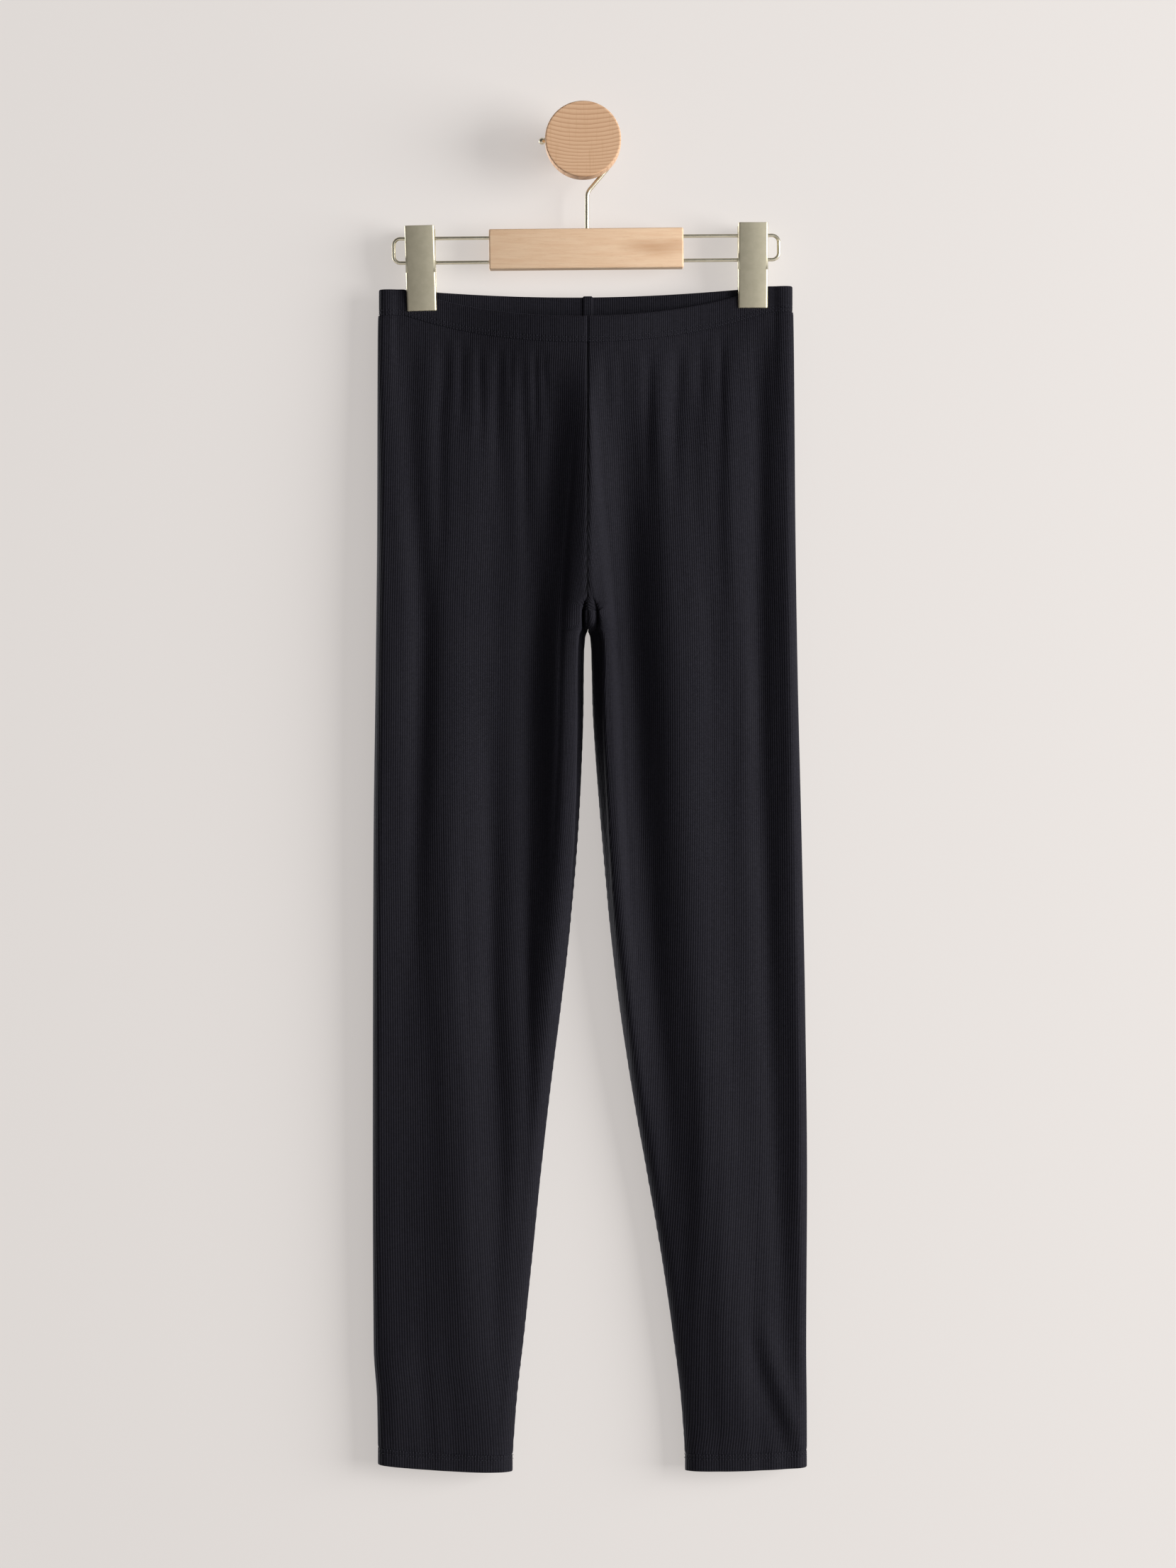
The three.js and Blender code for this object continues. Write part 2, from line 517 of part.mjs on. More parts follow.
// The casing: a closed ring, flat in the clips and open between them, where its front dips and bows
function waistCasing() {
  const sectionOf = (leg) => (level) => {
    const outward = leg === 'left' ? 1 : -1;
    const outer = read(OUTER_FOLDS, WAIST_TOP, leg) - outward * BAND_WALL / 2;
    const across = insets(Math.abs(outer - SEAM_X));
    const run = (side) => measured(across.map((inset) => {
      const x = outer - outward * inset;
      const off = bandDepth(x, side) * swell(inset, BAND_END_ROUND);
      return new THREE.Vector3(x, HANG_Y + (side === 'front' ? -off : off), waistEdge(x, side) + level);
    }));
    return { front: run('front'), back: run('back') };
  };
  const rows = [0, -BAND_HEIGHT].map((level) => {
    const right = ribRow(sectionOf('right'), level, 1);
    const left = ribRow(sectionOf('left'), level, -1);
    return { columns: [...right, ...left.filter((column) => !column.onEdge).reverse()] };
  });
  return knitWall(rows, BAND_WALL, 1, true);
}

// A turned hem: a closed ring whose outside is flush with the leg above it
function ankleHem(leg) {
  const facing = leg === 'right' ? 1 : -1;
  const top = LEG_LEVELS[LEG_LEVELS.length - 1];
  const thinner = (HEM_WALL - LEG_WALL) / 2;
  const sectionAt = (level) => {
    const run = (side) => measured(insets(legWidth(leg, top, HEM_WALL)).map((inset) => {
      const point = legPoint(leg, side, inset, top, HEM_WALL);
      const off = point.y - hangingPlane(top);
      const inward = Math.sign(off) * Math.min(thinner, Math.abs(off) / 4);
      return new THREE.Vector3(point.x, point.y - inward, hemEdge(point.x, leg) + HEM_HEIGHT + level);
    }));
    return { front: run('front'), back: run('back') };
  };
  const isBackEdge = ({ onEdge, side }) => onEdge && side === 'back';
  const rows = [0, -HEM_HEIGHT].map((level) => ({
    columns: ribRow(sectionAt, level, facing).filter((column) => !isBackEdge(column)),
  }));
  return knitWall(rows, HEM_WALL, facing, true);
}

// Solids for the hard parts

function toSolid(geometry) {
  const bare = geometry.clone();
  bare.deleteAttribute('normal');
  bare.deleteAttribute('uv');
  const merged = mergeVertices(bare, 1e-4);
  return new wasm.Manifold(new wasm.Mesh({
    numProp: 3,
    vertProperties: new Float32Array(merged.attributes.position.array),
    triVerts: new Uint32Array(merged.index.array),
  }));
}

function toGeometry(solid) {
  const mesh = solid.getMesh();
  const geometry = new THREE.BufferGeometry();
  geometry.setAttribute('position', new THREE.BufferAttribute(mesh.vertProperties, 3));
  geometry.setIndex(new THREE.BufferAttribute(mesh.triVerts, 1));
  return geometry;
}

// A path that passes through every given point, one step each
class WirePath extends THREE.Curve {
  constructor(points) {
    super();
    this.points = points;
  }

  getPoint(t) {
    const spans = this.points.length - 1;
    const i = Math.min(spans - 1, Math.floor(t * spans + 1e-9));
    return this.points[i].clone().lerp(this.points[i + 1], t * spans - i);
  }

  getPointAt(t) {
    return this.getPoint(t);
  }

  getTangentAt(t) {
    const spans = this.points.length - 1;
    const i = Math.round(t * spans);
    const before = this.points[Math.max(0, i - 1)];
    const after = this.points[Math.min(spans, i + 1)];
    return after.clone().sub(before).normalize();
  }
}

function wire(points, radius, sides) {
  const section = new THREE.Shape();
  section.absarc(0, 0, radius, 0, 2 * Math.PI, false);
  return new THREE.ExtrudeGeometry(section, {
    steps: points.length - 1,
    curveSegments: sides / 2,
    extrudePath: new WirePath(points),
  });
}

// Points round a circle in the XZ plane, both ends included
function arc(x, z, radius, from, to, steps, y = 0) {
  return Array.from({ length: steps + 1 }, (_, k) => {
    const angle = mix(from, to, k / steps);
    return new THREE.Vector3(x + radius * Math.cos(angle), y, z + radius * Math.sin(angle));
  });
}

function wallKnob() {
  const { neck, neckLength, disc, discThickness, edge, neckFillet } = KNOB;
  const front = neckLength + discThickness;
  const outline = [
    [0, 0], [neck, 0], [neck, neckLength - neckFillet],
    [neck + neckFillet * 0.4, neckLength - neckFillet * 0.4],
    [neck + neckFillet, neckLength], [disc - edge, neckLength], [disc, neckLength + edge],
    [disc, front - edge], [disc - edge * 0.3, front - edge * 0.3], [disc - edge, front], [0, front],
  ];
  const profile = outline.map(([radius, depth]) => new THREE.Vector2(radius, depth));
  return new THREE.LatheGeometry(profile, KNOB.segments);
}

function hookWire() {
  const lowestZ = HANGER_Z + BLOCK.height / 2 - HOOK.foot;
  const rise = arc(HOOK.arcX, HOOK.arcZ, HOOK.arcRadius, HOOK.arcFrom, HOOK.arcTo, HOOK.arcSteps);
  const bend = new THREE.Vector3(HOOK.shankX, 0, HOOK.bendZ);
  const below = bend.clone().add(new THREE.Vector3(0, 0, -HOOK.bendRound));
  const above = bend.clone().add(rise[0].clone().sub(bend).setLength(HOOK.bendRound));
  const turn = new THREE.QuadraticBezierCurve3(below, bend, above);
  const heading = new THREE.Vector3(-Math.sin(HOOK.arcTo), 0, Math.cos(HOOK.arcTo));
  const tip = rise[rise.length - 1].clone().addScaledVector(heading, HOOK.tipReach);
  const points = [new THREE.Vector3(HOOK.shankX, 0, lowestZ), ...turn.getPoints(3), ...rise, tip];
  const ball = new THREE.SphereGeometry(HOOK.tipBall, 8, 6).translate(tip.x, tip.y, tip.z);
  return toGeometry(toSolid(wire(points, HOOK.radius, HOOK.sides)).add(toSolid(ball)));
}

function hangerBlock() {
  const { length, height, thickness, round, corner } = BLOCK;
  const w = length / 2 - round;
  const h = height / 2 - round;
  const face = new THREE.Shape();
  face.moveTo(-w + corner, -h).lineTo(w - corner, -h).quadraticCurveTo(w, -h, w, -h + corner);
  face.lineTo(w, h - corner).quadraticCurveTo(w, h, w - corner, h);
  face.lineTo(-w + corner, h).quadraticCurveTo(-w, h, -w, h - corner);
  face.lineTo(-w, -h + corner).quadraticCurveTo(-w, -h, -w + corner, -h);
  const body = new THREE.ExtrudeGeometry(face, {
    depth: thickness - 2 * round, curveSegments: 3,
    bevelThickness: round, bevelSize: round, bevelSegments: 1,
  });
  body.translate(0, 0, -thickness / 2 + round).rotateX(Math.PI / 2);
  let solid = toSolid(body);
  const rodBore = ROD.radius + BORE_GAP;
  const shankBore = HOOK.radius + BORE_GAP;
  for (const end of [-1, 1]) {
    for (const level of [-1, 1]) {
      const bore = new THREE.CylinderGeometry(rodBore, rodBore, ROD.buried + 4, BORE_SIDES);
      bore.rotateZ(Math.PI / 2).translate(end * (length / 2 - ROD.buried / 2 + 1), 0, level * ROD.spread / 2);
      solid = solid.subtract(toSolid(bore));
    }
  }
  const socket = new THREE.CylinderGeometry(shankBore, shankBore, HOOK.foot + 4, BORE_SIDES);
  socket.rotateX(Math.PI / 2).translate(HOOK.shankX - HANGER_X, 0, height / 2 - HOOK.foot / 2 + 1);
  return toGeometry(solid.subtract(toSolid(socket)));
}

// One U of rod, open towards the block
function hangerRod(end) {
  const tip = ROD.reach - ROD.radius;
  const half = ROD.spread / 2;
  const start = BLOCK.length / 2 - ROD.buried;
  const corner = (z, from, to) => arc(tip - ROD.corner, z, ROD.corner, from, to, 4);
  const points = [
    new THREE.Vector3(start, 0, half),
    ...corner(half - ROD.corner, Math.PI / 2, 0),
    ...corner(ROD.corner - half, 0, -Math.PI / 2),
    new THREE.Vector3(start, 0, -half),
  ];
  points.forEach((p) => { p.x *= end; });
  return wire(points, ROD.radius, ROD.sides);
}

// A pressed jaw. side is -1 for the front one and 1 for the back one; ears pass beside the lower rod
function clipJaw(side, earX) {
  const height = CLIP.top - CLIP.bottom;
  const lean = Math.atan2(CLIP_SPREAD - CLIP_MOUTH, height);
  const middleZ = (CLIP.top + CLIP.bottom) / 2;
  const faceAt = (z) => CLIP_MOUTH + (CLIP_SPREAD - CLIP_MOUTH) * (z - CLIP.bottom) / height;
  const place = (geometry, z, inset) => geometry.rotateX(-side * lean)
    .translate(0, side * (faceAt(z) + CLIP.sheet / 2 - inset), z);
  let solid = toSolid(place(new THREE.BoxGeometry(CLIP.width, CLIP.sheet, height), middleZ, 0));
  const flangeHeight = height * 0.62;
  const flangeZ = CLIP.top - flangeHeight / 2 - 0.2;
  for (const edge of [-1, 1]) {
    const flange = new THREE.BoxGeometry(CLIP.sheet, CLIP.flange, flangeHeight);
    flange.translate(edge * (CLIP.width - CLIP.sheet) / 2, 0, 0);
    solid = solid.add(toSolid(place(flange, flangeZ, CLIP.flange / 2)));
    const rodZ = -ROD.spread / 2;
    const root = side * (faceAt(rodZ) + CLIP.sheet / 2);
    const nose = arc(0, rodZ, CLIP.ear, -Math.PI * 0.62, -Math.PI * 1.38, 6)
      .map((p) => new THREE.Vector2(side * p.x, p.z));
    const ear = new THREE.Shape([
      new THREE.Vector2(root, rodZ - 9), ...nose, new THREE.Vector2(root, rodZ + 9),
    ]);
    const hole = new THREE.Path();
    hole.absarc(0, rodZ, ROD.radius + SEAM_GAP, 0, 2 * Math.PI, false);
    ear.holes.push(hole);
    const plate = new THREE.ExtrudeGeometry(ear, {
      depth: CLIP.sheet, bevelEnabled: false, curveSegments: 5,
    });
    plate.rotateY(Math.PI / 2).rotateX(Math.PI / 2);
    plate.translate(edge * earX - CLIP.sheet / 2, 0, 0);
    solid = solid.add(toSolid(plate));
  }
  const lip = new THREE.BoxGeometry(CLIP.width, CLIP.lip, CLIP.sheet);
  solid = solid.add(toSolid(place(lip, CLIP.top - CLIP.sheet / 2, CLIP.lip / 2)));
  return toGeometry(solid);
}

// A torsion spring wound round the lower rod, one leg against each jaw
function clipSpring() {
  const steps = SPRING.turns * SPRING.stepsPerTurn;
  const from = -SPRING.turns * SPRING.pitch / 2;
  const points = [];
  for (let k = 0; k <= steps; k += 1) {
    const angle = 2 * Math.PI * k / SPRING.stepsPerTurn;
    points.push(new THREE.Vector3(from + SPRING.pitch * k / SPRING.stepsPerTurn,
      SPRING.coil * Math.cos(angle), SPRING.coil * Math.sin(angle)));
  }
  points.unshift(points[0].clone().add(new THREE.Vector3(-0.6, 1.6, SPRING.leg)));
  const end = points[points.length - 1];
  points.push(end.clone().add(new THREE.Vector3(0.6, -1.6, SPRING.leg)));
  return wire(points, SPRING.wire, SPRING.sides).translate(0, 0, -ROD.spread / 2);
}

// The scene graph

const leggings = new THREE.Group();

function addPiece(parent, name, geometry, look) {
  const mesh = new THREE.Mesh(geometry, new THREE.MeshStandardMaterial(look));
  mesh.name = name;
  parent.add(mesh);
  return mesh;
}

const knob = addPiece(leggings, 'wall_knob', wallKnob(), BEECH);
knob.rotation.x = Math.PI;

const hook = addPiece(leggings, 'hanger_hook', hookWire(), NICKEL);
hook.position.y = HANG_Y;

const hanger = new THREE.Group();
hanger.position.set(HANGER_X, HANG_Y, HANGER_Z);
hanger.rotation.y = -HANGER_TILT;
leggings.add(hanger);
addPiece(hanger, 'hanger_block', hangerBlock(), BEECH);
addPiece(hanger, 'right_rod', hangerRod(-1), NICKEL);
addPiece(hanger, 'left_rod', hangerRod(1), NICKEL);

const outerEar = (CLIP.width - CLIP.sheet) / 2; // the back jaw's ears pass inside the front jaw's
for (const { name, x, turn } of CLIPS) {
  const clip = new THREE.Group();
  clip.position.x = x;
  clip.rotation.y = -turn;
  hanger.add(clip);
  addPiece(clip, `${name}_clip_front_jaw`, clipJaw(-1, outerEar), NICKEL);
  addPiece(clip, `${name}_clip_back_jaw`, clipJaw(1, outerEar - CLIP.sheet - SEAM_GAP), NICKEL);
  addPiece(clip, `${name}_clip_spring`, clipSpring(), NICKEL);
}

addPiece(leggings, 'waist_casing', waistCasing(), CLOTH);
for (const leg of ['right', 'left']) {
  addPiece(leggings, `${leg}_leg`, legPanel(leg), CLOTH);
  addPiece(leggings, `${leg}_hem`, ankleHem(leg), CLOTH);
}

export default leggings;
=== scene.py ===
# Ribbed jersey leggings, clipped by the waistband in a hanger over a wall knob, dressed round the solids.
#
# Sizes are millimetres, as in the solids, and become metres where a mesh is made. The wall is the plane
# Y = 0, everything hangs in front of it towards -Y, and +X is the wearer's left.

import math
from types import SimpleNamespace as Sizes

import bpy
import numpy as np
from mathutils import Matrix, Vector


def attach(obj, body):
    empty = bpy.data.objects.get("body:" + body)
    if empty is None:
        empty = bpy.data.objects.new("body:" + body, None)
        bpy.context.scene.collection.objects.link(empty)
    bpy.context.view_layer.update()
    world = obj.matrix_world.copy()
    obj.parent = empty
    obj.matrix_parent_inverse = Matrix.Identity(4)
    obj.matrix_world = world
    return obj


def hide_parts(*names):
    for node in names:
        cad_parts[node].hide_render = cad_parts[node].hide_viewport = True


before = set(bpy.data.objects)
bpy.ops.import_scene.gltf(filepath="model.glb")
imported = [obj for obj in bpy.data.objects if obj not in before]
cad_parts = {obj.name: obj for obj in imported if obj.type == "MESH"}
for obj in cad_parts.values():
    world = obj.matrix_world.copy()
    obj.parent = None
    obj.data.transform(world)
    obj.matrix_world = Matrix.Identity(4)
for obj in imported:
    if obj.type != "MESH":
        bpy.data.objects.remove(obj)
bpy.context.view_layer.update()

MM = 0.001

# The cloth's driving sizes, as in the solids

OUTWARD = {"right": -1, "left": 1}
SIDE_SIGN = {"front": -1, "back": 1}
SEAM_GAP = 0.1
LEG_WALL = 1.4
BAND_WALL = 3.0
HEM_WALL = 2.4
BAND_HEIGHT = 21.5
HEM_HEIGHT = 14.5
SEAM_X = 3.8
BACK_SEAM_OFF = 1.6  # the back rise seam hangs this far beside the front one
HANG_Y = -20.0
HEM_LEAN = 3.0
WAIST_TOP = -117.2
WAIST_TILT = 0.0085
DIP_HALF_SPAN = 150.0
DIP = {"front": 24.6, "back": 7.2}
PINCH = 1.65  # half the distance between the casing's middles in a clip
BOW = {"front": 12.0, "back": 2.4}
BOW_HALF_SPAN = 117.0
BAND_FOLD_HALF = 3.2  # half the distance between its middles near the outer folds
BAND_END_ROUND = 5.0
OUTER_ROUND = 7.0
INNER_ROUND = 10.0
CROTCH_TOP = -372.0
CROTCH_Z = -400.0
INNER_SKEW = 3.0  # the inner folds lie this far behind the middle plane
SKEW_WIDTH = 25.0

# The crotch, from the front. Each leg's front ends in a crisp ridge there and drops straight back to a dark
# strip, which runs on to the inner fold; between the ridges the seamed cloth turns under as a small tongue.
INNER_STRIP = {
    "right": [(-372, 1.5), (-384, 5.2), (-396, 5.6), (-470, 5.2), (-540, 4), (-600, 3), (-680, 2)],
    "left": [(-372, 4.5), (-384, 9.2), (-396, 10), (-470, 9), (-540, 7), (-600, 5), (-680, 3)],
}
STRIP_LEVEL = {"right": 0.2, "left": 0.42}
STRIP_DROP = 12.0  # below the crotch's top, until the strip lies at its level
STRIP_EDGE = (0.9, 0.16)  # the ridge's edge, in the strip's own width, and how soft it is
STRIP_FADE = (-560.0, -690.0)
TONGUE = {"right": 2.4, "left": 8.6}
WAIST_BLEND_TO = -260.0
LAYERS_APART = 0.15  # the least from a trough's inside to the middle plane
TROUGH_REST = 0.5  # how softly a trough comes to rest there
FOLDS_FULL = 22.0  # this far under the casing its folds have their whole height
HEM_LEVEL = -1093.0
HEM_EDGE = {"right": (-1086, 6.0), "left": (-1088, 3.2)}  # at the outer fold, and its fall from there
HEM_BLEND = (-985.0, 85.0)  # from here, over this much
LEG_TOP = -142.0
LEG_BOTTOM = -1076.0
HANGER_X = 2.6

OUTER_FOLDS = {
    "right": [(-110, -168.0), (-163, -169.2), (-310, -169.5), (-430, -170.7), (-570, -172.5),
              (-710, -173.1), (-850, -173.3), (-990, -172.6), (-1036, -169.8), (-1093, -169.0)],
    "left": [(-110, 172.4), (-163, 173.6), (-310, 174.8), (-430, 176.6), (-570, 180.0),
             (-710, 183.0), (-850, 184.6), (-990, 184.0), (-1036, 184.4), (-1093, 184.6)],
}
INNER_FOLDS = {
    "right": [(-400, 3.6), (-402, 2.6), (-407, 1.6), (-428, 0.9), (-464, 0.6), (-499, -0.4), (-569, -3.8),
              (-639, -9.8), (-709, -17.9), (-779, -26.8), (-849, -34.7), (-919, -41.8), (-989, -49.2),
              (-1036, -54.5), (-1093, -58.6)],
    "left": [(-400, 4.0), (-402, 5.1), (-407, 6.1), (-428, 6.8), (-464, 7.6), (-499, 9.6), (-569, 15.0),
             (-639, 21.4), (-709, 29.8), (-779, 40.4), (-849, 52.8), (-919, 64.9), (-989, 75.0),
             (-1036, 80.6), (-1093, 84.4)],
}
DEPTHS = {
    "front": [(-140, 5.0), (-200, 7.5), (-300, 10.0), (-400, 11.5), (-520, 10.5), (-700, 9.0),
              (-900, 8.0), (-1093, 6.0)],
    "back": [(-140, 4.0), (-200, 6.0), (-300, 8.5), (-400, 9.5), (-520, 8.5), (-700, 7.0),
             (-900, 6.0), (-1093, 5.0)],
}

# Every fold is a crest or, where its height is negative, a trough: (width, [(z, x, height), ...])

LEFT_CREST_EDGE = [(-170, 5, 0), (-218, 6, 0.5), (-265, 8.4, 0.9), (-312, 12.5, 1.1), (-358, 17, 1.2),
                   (-405, 21.2, 1.4), (-452, 24.1, 1.4), (-522, 27, 1.2), (-609, 32, 0.8), (-700, 40, 0)]
FOLDS = {
    "front": {
        "right inner crest": (9.5, [(-163, 1, 1), (-260, -3, 5), (-340, -6, 7.5), (-400, -11, 8.5),
            (-450, -14, 8.5), (-540, -15, 7.5), (-640, -21, 5), (-740, -31, 2.5), (-860, -44, 0)]),
        "right crest line": (1.8, [(-230, -6, 0), (-300, -11, -0.7), (-405, -17.5, -1.1), (-500, -20, -1),
            (-609, -25, 0)]),
        "right crotch trough": (9, [(-160, -26, 0), (-185, -25, -1.6), (-230, -25, -2.2), (-290, -30, -3.4),
            (-350, -35, -4.4), (-400, -38, -5.8), (-480, -40, -6.2), (-560, -40, -5.4), (-640, -43, -3.2),
            (-740, -50, 0)]),
        "right gather": (4.2, [(-150, -50, 0), (-172, -50, -1.8), (-250, -48, -2), (-330, -47, -1.6),
            (-400, -46, -0.8), (-560, -46, -1.6), (-680, -45, -2.4), (-770, -44, -1.2), (-830, -44, 0)]),
        "right thigh valley": (20, [(-190, -58, 0), (-240, -60, -3), (-300, -62, -4.6), (-400, -64, -5.6),
            (-500, -64, -5), (-600, -64, -3.6), (-700, -66, -1.6), (-820, -68, 0)]),
        "right thigh trough": (7.5, [(-440, -78, 0), (-520, -76, -2), (-600, -75, -3.6), (-700, -75, -3.8),
            (-780, -74, -2.4), (-860, -70, -1), (-940, -66, 0)]),
        "right front tuck": (4, [(-150, -68, 0), (-170, -69, -1.8), (-230, -71, -1.8), (-270, -71, -0.8),
            (-310, -72, 0)]),
        "right body crest": (14, [(-360, -107, 0), (-460, -108, 2.2), (-580, -108, 3.2), (-680, -107, 3.6),
            (-780, -103, 4), (-880, -98, 4), (-980, -92, 3), (-1060, -84, 1.6)]),
        "right shin swell": (25, [(-780, -112, 0), (-900, -112, 2.6), (-1000, -114, 2.2),
            (-1076, -116, 0.8)]),
        "right waist tuck": (4.5, [(-150, -114, 0), (-172, -114, -1.7), (-230, -117, -1.8),
            (-300, -117, -1.4), (-370, -118, 0)]),
        "right clip trough": (8, [(-150, -143, 0), (-185, -143, -2.2), (-260, -141, -3), (-330, -135, -3.6),
            (-400, -131, -4.6), (-470, -133, -4.2), (-560, -137, -3), (-680, -142, -1.4), (-770, -146, 0)]),
        "right ankle crest": (9, [(-960, -150, 0), (-1020, -152, 1.4), (-1076, -150, 0)]),
        "right side pucker": (2.6, [(-148, -100, 0), (-164, -100, -0.8), (-200, -100, -0.7),
            (-236, -101, 0)]),
        "right hip pucker": (2.8, [(-148, -85, 0), (-166, -85, -1.2), (-212, -84, -1), (-258, -84, 0)]),
        "right seam pucker": (2.5, [(-148, -39, 0), (-163, -39, -1.3), (-205, -39, -1.2), (-262, -38, 0)]),
        "right short pucker": (2.2, [(-148, -32, 0), (-160, -32, -0.9), (-188, -31, -0.7), (-222, -31, 0)]),
        "right high pucker": (2.1, [(-148, -59, 0), (-158, -59, -0.8), (-182, -59, -0.6), (-214, -60, 0)]),
        "left seam pucker": (2.7, [(-148, 18, 0), (-164, 18, -0.5), (-198, 19, -0.4), (-240, 20, 0)]),
        "left short pucker": (3, [(-148, 32, 0), (-162, 32, -0.5), (-190, 32, -0.4), (-232, 33, 0)]),
        "left long pucker": (3.1, [(-148, 54, 0), (-168, 54, -0.9), (-230, 54, -0.7), (-300, 54, 0)]),
        "left hip pucker": (2.7, [(-148, 114, 0), (-162, 114, -1), (-215, 114, -0.8), (-290, 114, 0)]),
        "left inner crest": (9.5, [(-163, 5, 1), (-260, 6, 5), (-340, 7, 7.5), (-395, 12, 8.5),
            (-450, 16, 8.5), (-540, 21, 7.5), (-640, 29, 6.2), (-780, 46, 3.4), (-880, 60, 0)]),
        "left crest edge": (2.6, LEFT_CREST_EDGE),
        "left crest line": (2.6, [(z, x + 6, -height) for z, x, height in LEFT_CREST_EDGE]),
        "left seam ridge": (4.5, [(-160, 6, 0), (-220, 6, 1.4), (-300, 7, 2), (-380, 9, 0)]),
        "left crotch trough": (12, [(-190, 37, 0), (-260, 37, -2.8), (-320, 37, -5.6), (-380, 38, -7.6),
            (-460, 43, -8), (-540, 47, -7), (-620, 52, -5.2), (-700, 58, -3.8), (-780, 66, -2.8),
            (-860, 74, -1.6), (-950, 82, 0)]),
        "left body crest": (18, [(-210, 74, 0), (-280, 73, 2.8), (-350, 75, 5.8), (-440, 78, 7.4),
            (-540, 82, 7.6), (-640, 88, 6.8), (-760, 99, 6.6), (-860, 107, 6.6), (-940, 114, 6.2),
            (-1020, 124, 5.2), (-1076, 132, 2)]),
        "left gather": (6, [(-158, 62, 0), (-190, 62, 1.3), (-230, 62, 1.5), (-290, 63, 0)]),
        "left hip tuck": (4.2, [(-150, 78, 0), (-172, 78, -1.6), (-240, 76, -1.3), (-300, 77, 0)]),
        "left side crest": (5.5, [(-160, 120, 0), (-195, 120, 1.4), (-300, 120, 1.7), (-390, 121, 1.2),
            (-460, 122, 0)]),
        "left waist tuck": (4, [(-152, 97, 0), (-180, 97, -1.2), (-225, 98, 0)]),
        "left outer ridge": (5, [(-170, 168, 0), (-260, 168, 0.8), (-420, 169, 2), (-600, 173, 2.2),
            (-800, 178, 1.8), (-960, 178, 0)]),
        "left side trough": (7, [(-148, 144, 0), (-185, 145, -3.4), (-300, 145, -4.6), (-440, 147, -5),
            (-560, 149, -4.6), (-680, 152, -4), (-800, 157, -3), (-900, 162, -2.4), (-980, 166, -1.4),
            (-1030, 168, 0)]),
        "left ankle crest": (6, [(-950, 143, 0), (-1000, 156, 2.6), (-1044, 169, 3.2), (-1076, 179, 0)]),
        "left ankle trough": (6, [(-975, 136, 0), (-1020, 149, -1.6), (-1062, 163, -1.2), (-1084, 170, 0)]),
    },
    "back": {
        "back rise crest": (14, [(-170, 3.8, 0), (-290, 3.8, 3.5), (-420, 3.8, 4), (-600, 3.8, 0)]),
        "back right crest": (18, [(-260, -84, 0), (-430, -86, 3), (-700, -92, 2.8), (-1000, -104, 0)]),
        "back left crest": (18, [(-260, 92, 0), (-430, 94, 3.2), (-700, 106, 2.6), (-1000, 128, 0)]),
        "back right clip trough": (7, [(-150, -141, 0), (-195, -140, -3.2), (-330, -134, -2.6),
            (-470, -130, 0)]),
        "back left clip trough": (7, [(-150, 143, 0), (-200, 142, -3.4), (-390, 138, -2.4), (-520, 136, 0)]),
        "back right gather": (5, [(-150, -94, 0), (-190, -94, -2.3), (-290, -93, 0)]),
        "back right tuck": (4, [(-150, -58, 0), (-185, -58, -1.6), (-270, -59, 0)]),
        "back right seam tuck": (4.4, [(-150, -28, 0), (-190, -29, -1.8), (-330, -30, 0)]),
        "back left seam tuck": (4, [(-150, 27, 0), (-180, 27, -1.5), (-250, 28, 0)]),
        "back left tuck": (4.8, [(-150, 62, 0), (-195, 62, -2), (-340, 60, 0)]),
        "back left gather": (4.4, [(-150, 104, 0), (-185, 104, -1.6), (-260, 105, 0)]),
        "back right thigh trough": (11, [(-240, -42, 0), (-390, -45, -5.6), (-540, -52, -4.6),
            (-720, -62, 0)]),
        "back left thigh trough": (11, [(-260, 48, 0), (-420, 50, -5.8), (-600, 60, -4.2), (-760, 74, 0)]),
        "back right side trough": (8, [(-420, -138, 0), (-560, -140, -3.6), (-860, -142, 0)]),
        "back left side trough": (8, [(-380, 148, 0), (-600, 153, -2.8), (-900, 160, 0)]),
        "back right knee trough": (9, [(-640, -64, 0), (-760, -70, -3.4), (-930, -78, 0)]),
        "back left knee crest": (8, [(-620, 132, 0), (-740, 136, 1.8), (-880, 138, 0)]),
        "back left ankle trough": (8, [(-930, 116, 0), (-1000, 118, -1.8), (-1076, 116, 0)]),
    },
}

# The knit. Its ribs run straight down from the waist, side by side from each outer fold, a little wider
# apart near the ankles. RIB_COLUMNS of the mesh carry each of them, at the heights of RIB_PROFILE.
RIB_PITCH = [(-110, 1.80), (-520, 1.84), (-800, 1.98), (-1093, 2.20)]
RIB_DEPTH = 0.4
COURSE_PITCH = 1.25  # from one row of knitting to the next
RIB_COLUMNS = 4
RIB_PROFILE = np.array([0.0, 0.82, 1.0, 0.82])
RIB_COUNT = 140  # enough to reach from an outer fold to any inner edge
# Ribs that the rise seams and the inseams take up, where the panels widen to the crotch
RIBS_GATHERED = [(-110, 0), (-235, 0), (-300, 1.8), (-340, 4.4), (-366, 7.5), (-388, 10), (-430, 8.6),
                 (-480, 6.4), (-540, 3.8), (-610, 1.5), (-700, 0), (-1093, 0)]
GATHER_WIDTH = 22.0  # over which the ribs beside them lean
RIDGE_TO_FOLD = 20.0  # from the ridge back to the inner fold, along the cloth
PLAIN_STRIDE = 12  # the inside of a leg has one column for this many of the outside's
FOLD_STRIDE = 4  # and for this many up to FOLD_REACH columns from the outer fold
FOLD_REACH = 32
RIB_WANDER = 0.22
CLOTH_LEAN = {"front": 0.35, "back": -0.6}  # moves the small unevenness of the back off that of the front
EDGE_ROLL = Sizes(depth=1.1, width=0.9)  # the panels' sewn edges turn in here
SEAM_SHADE = 0.9  # as wide as the painted shadow along a sewn edge
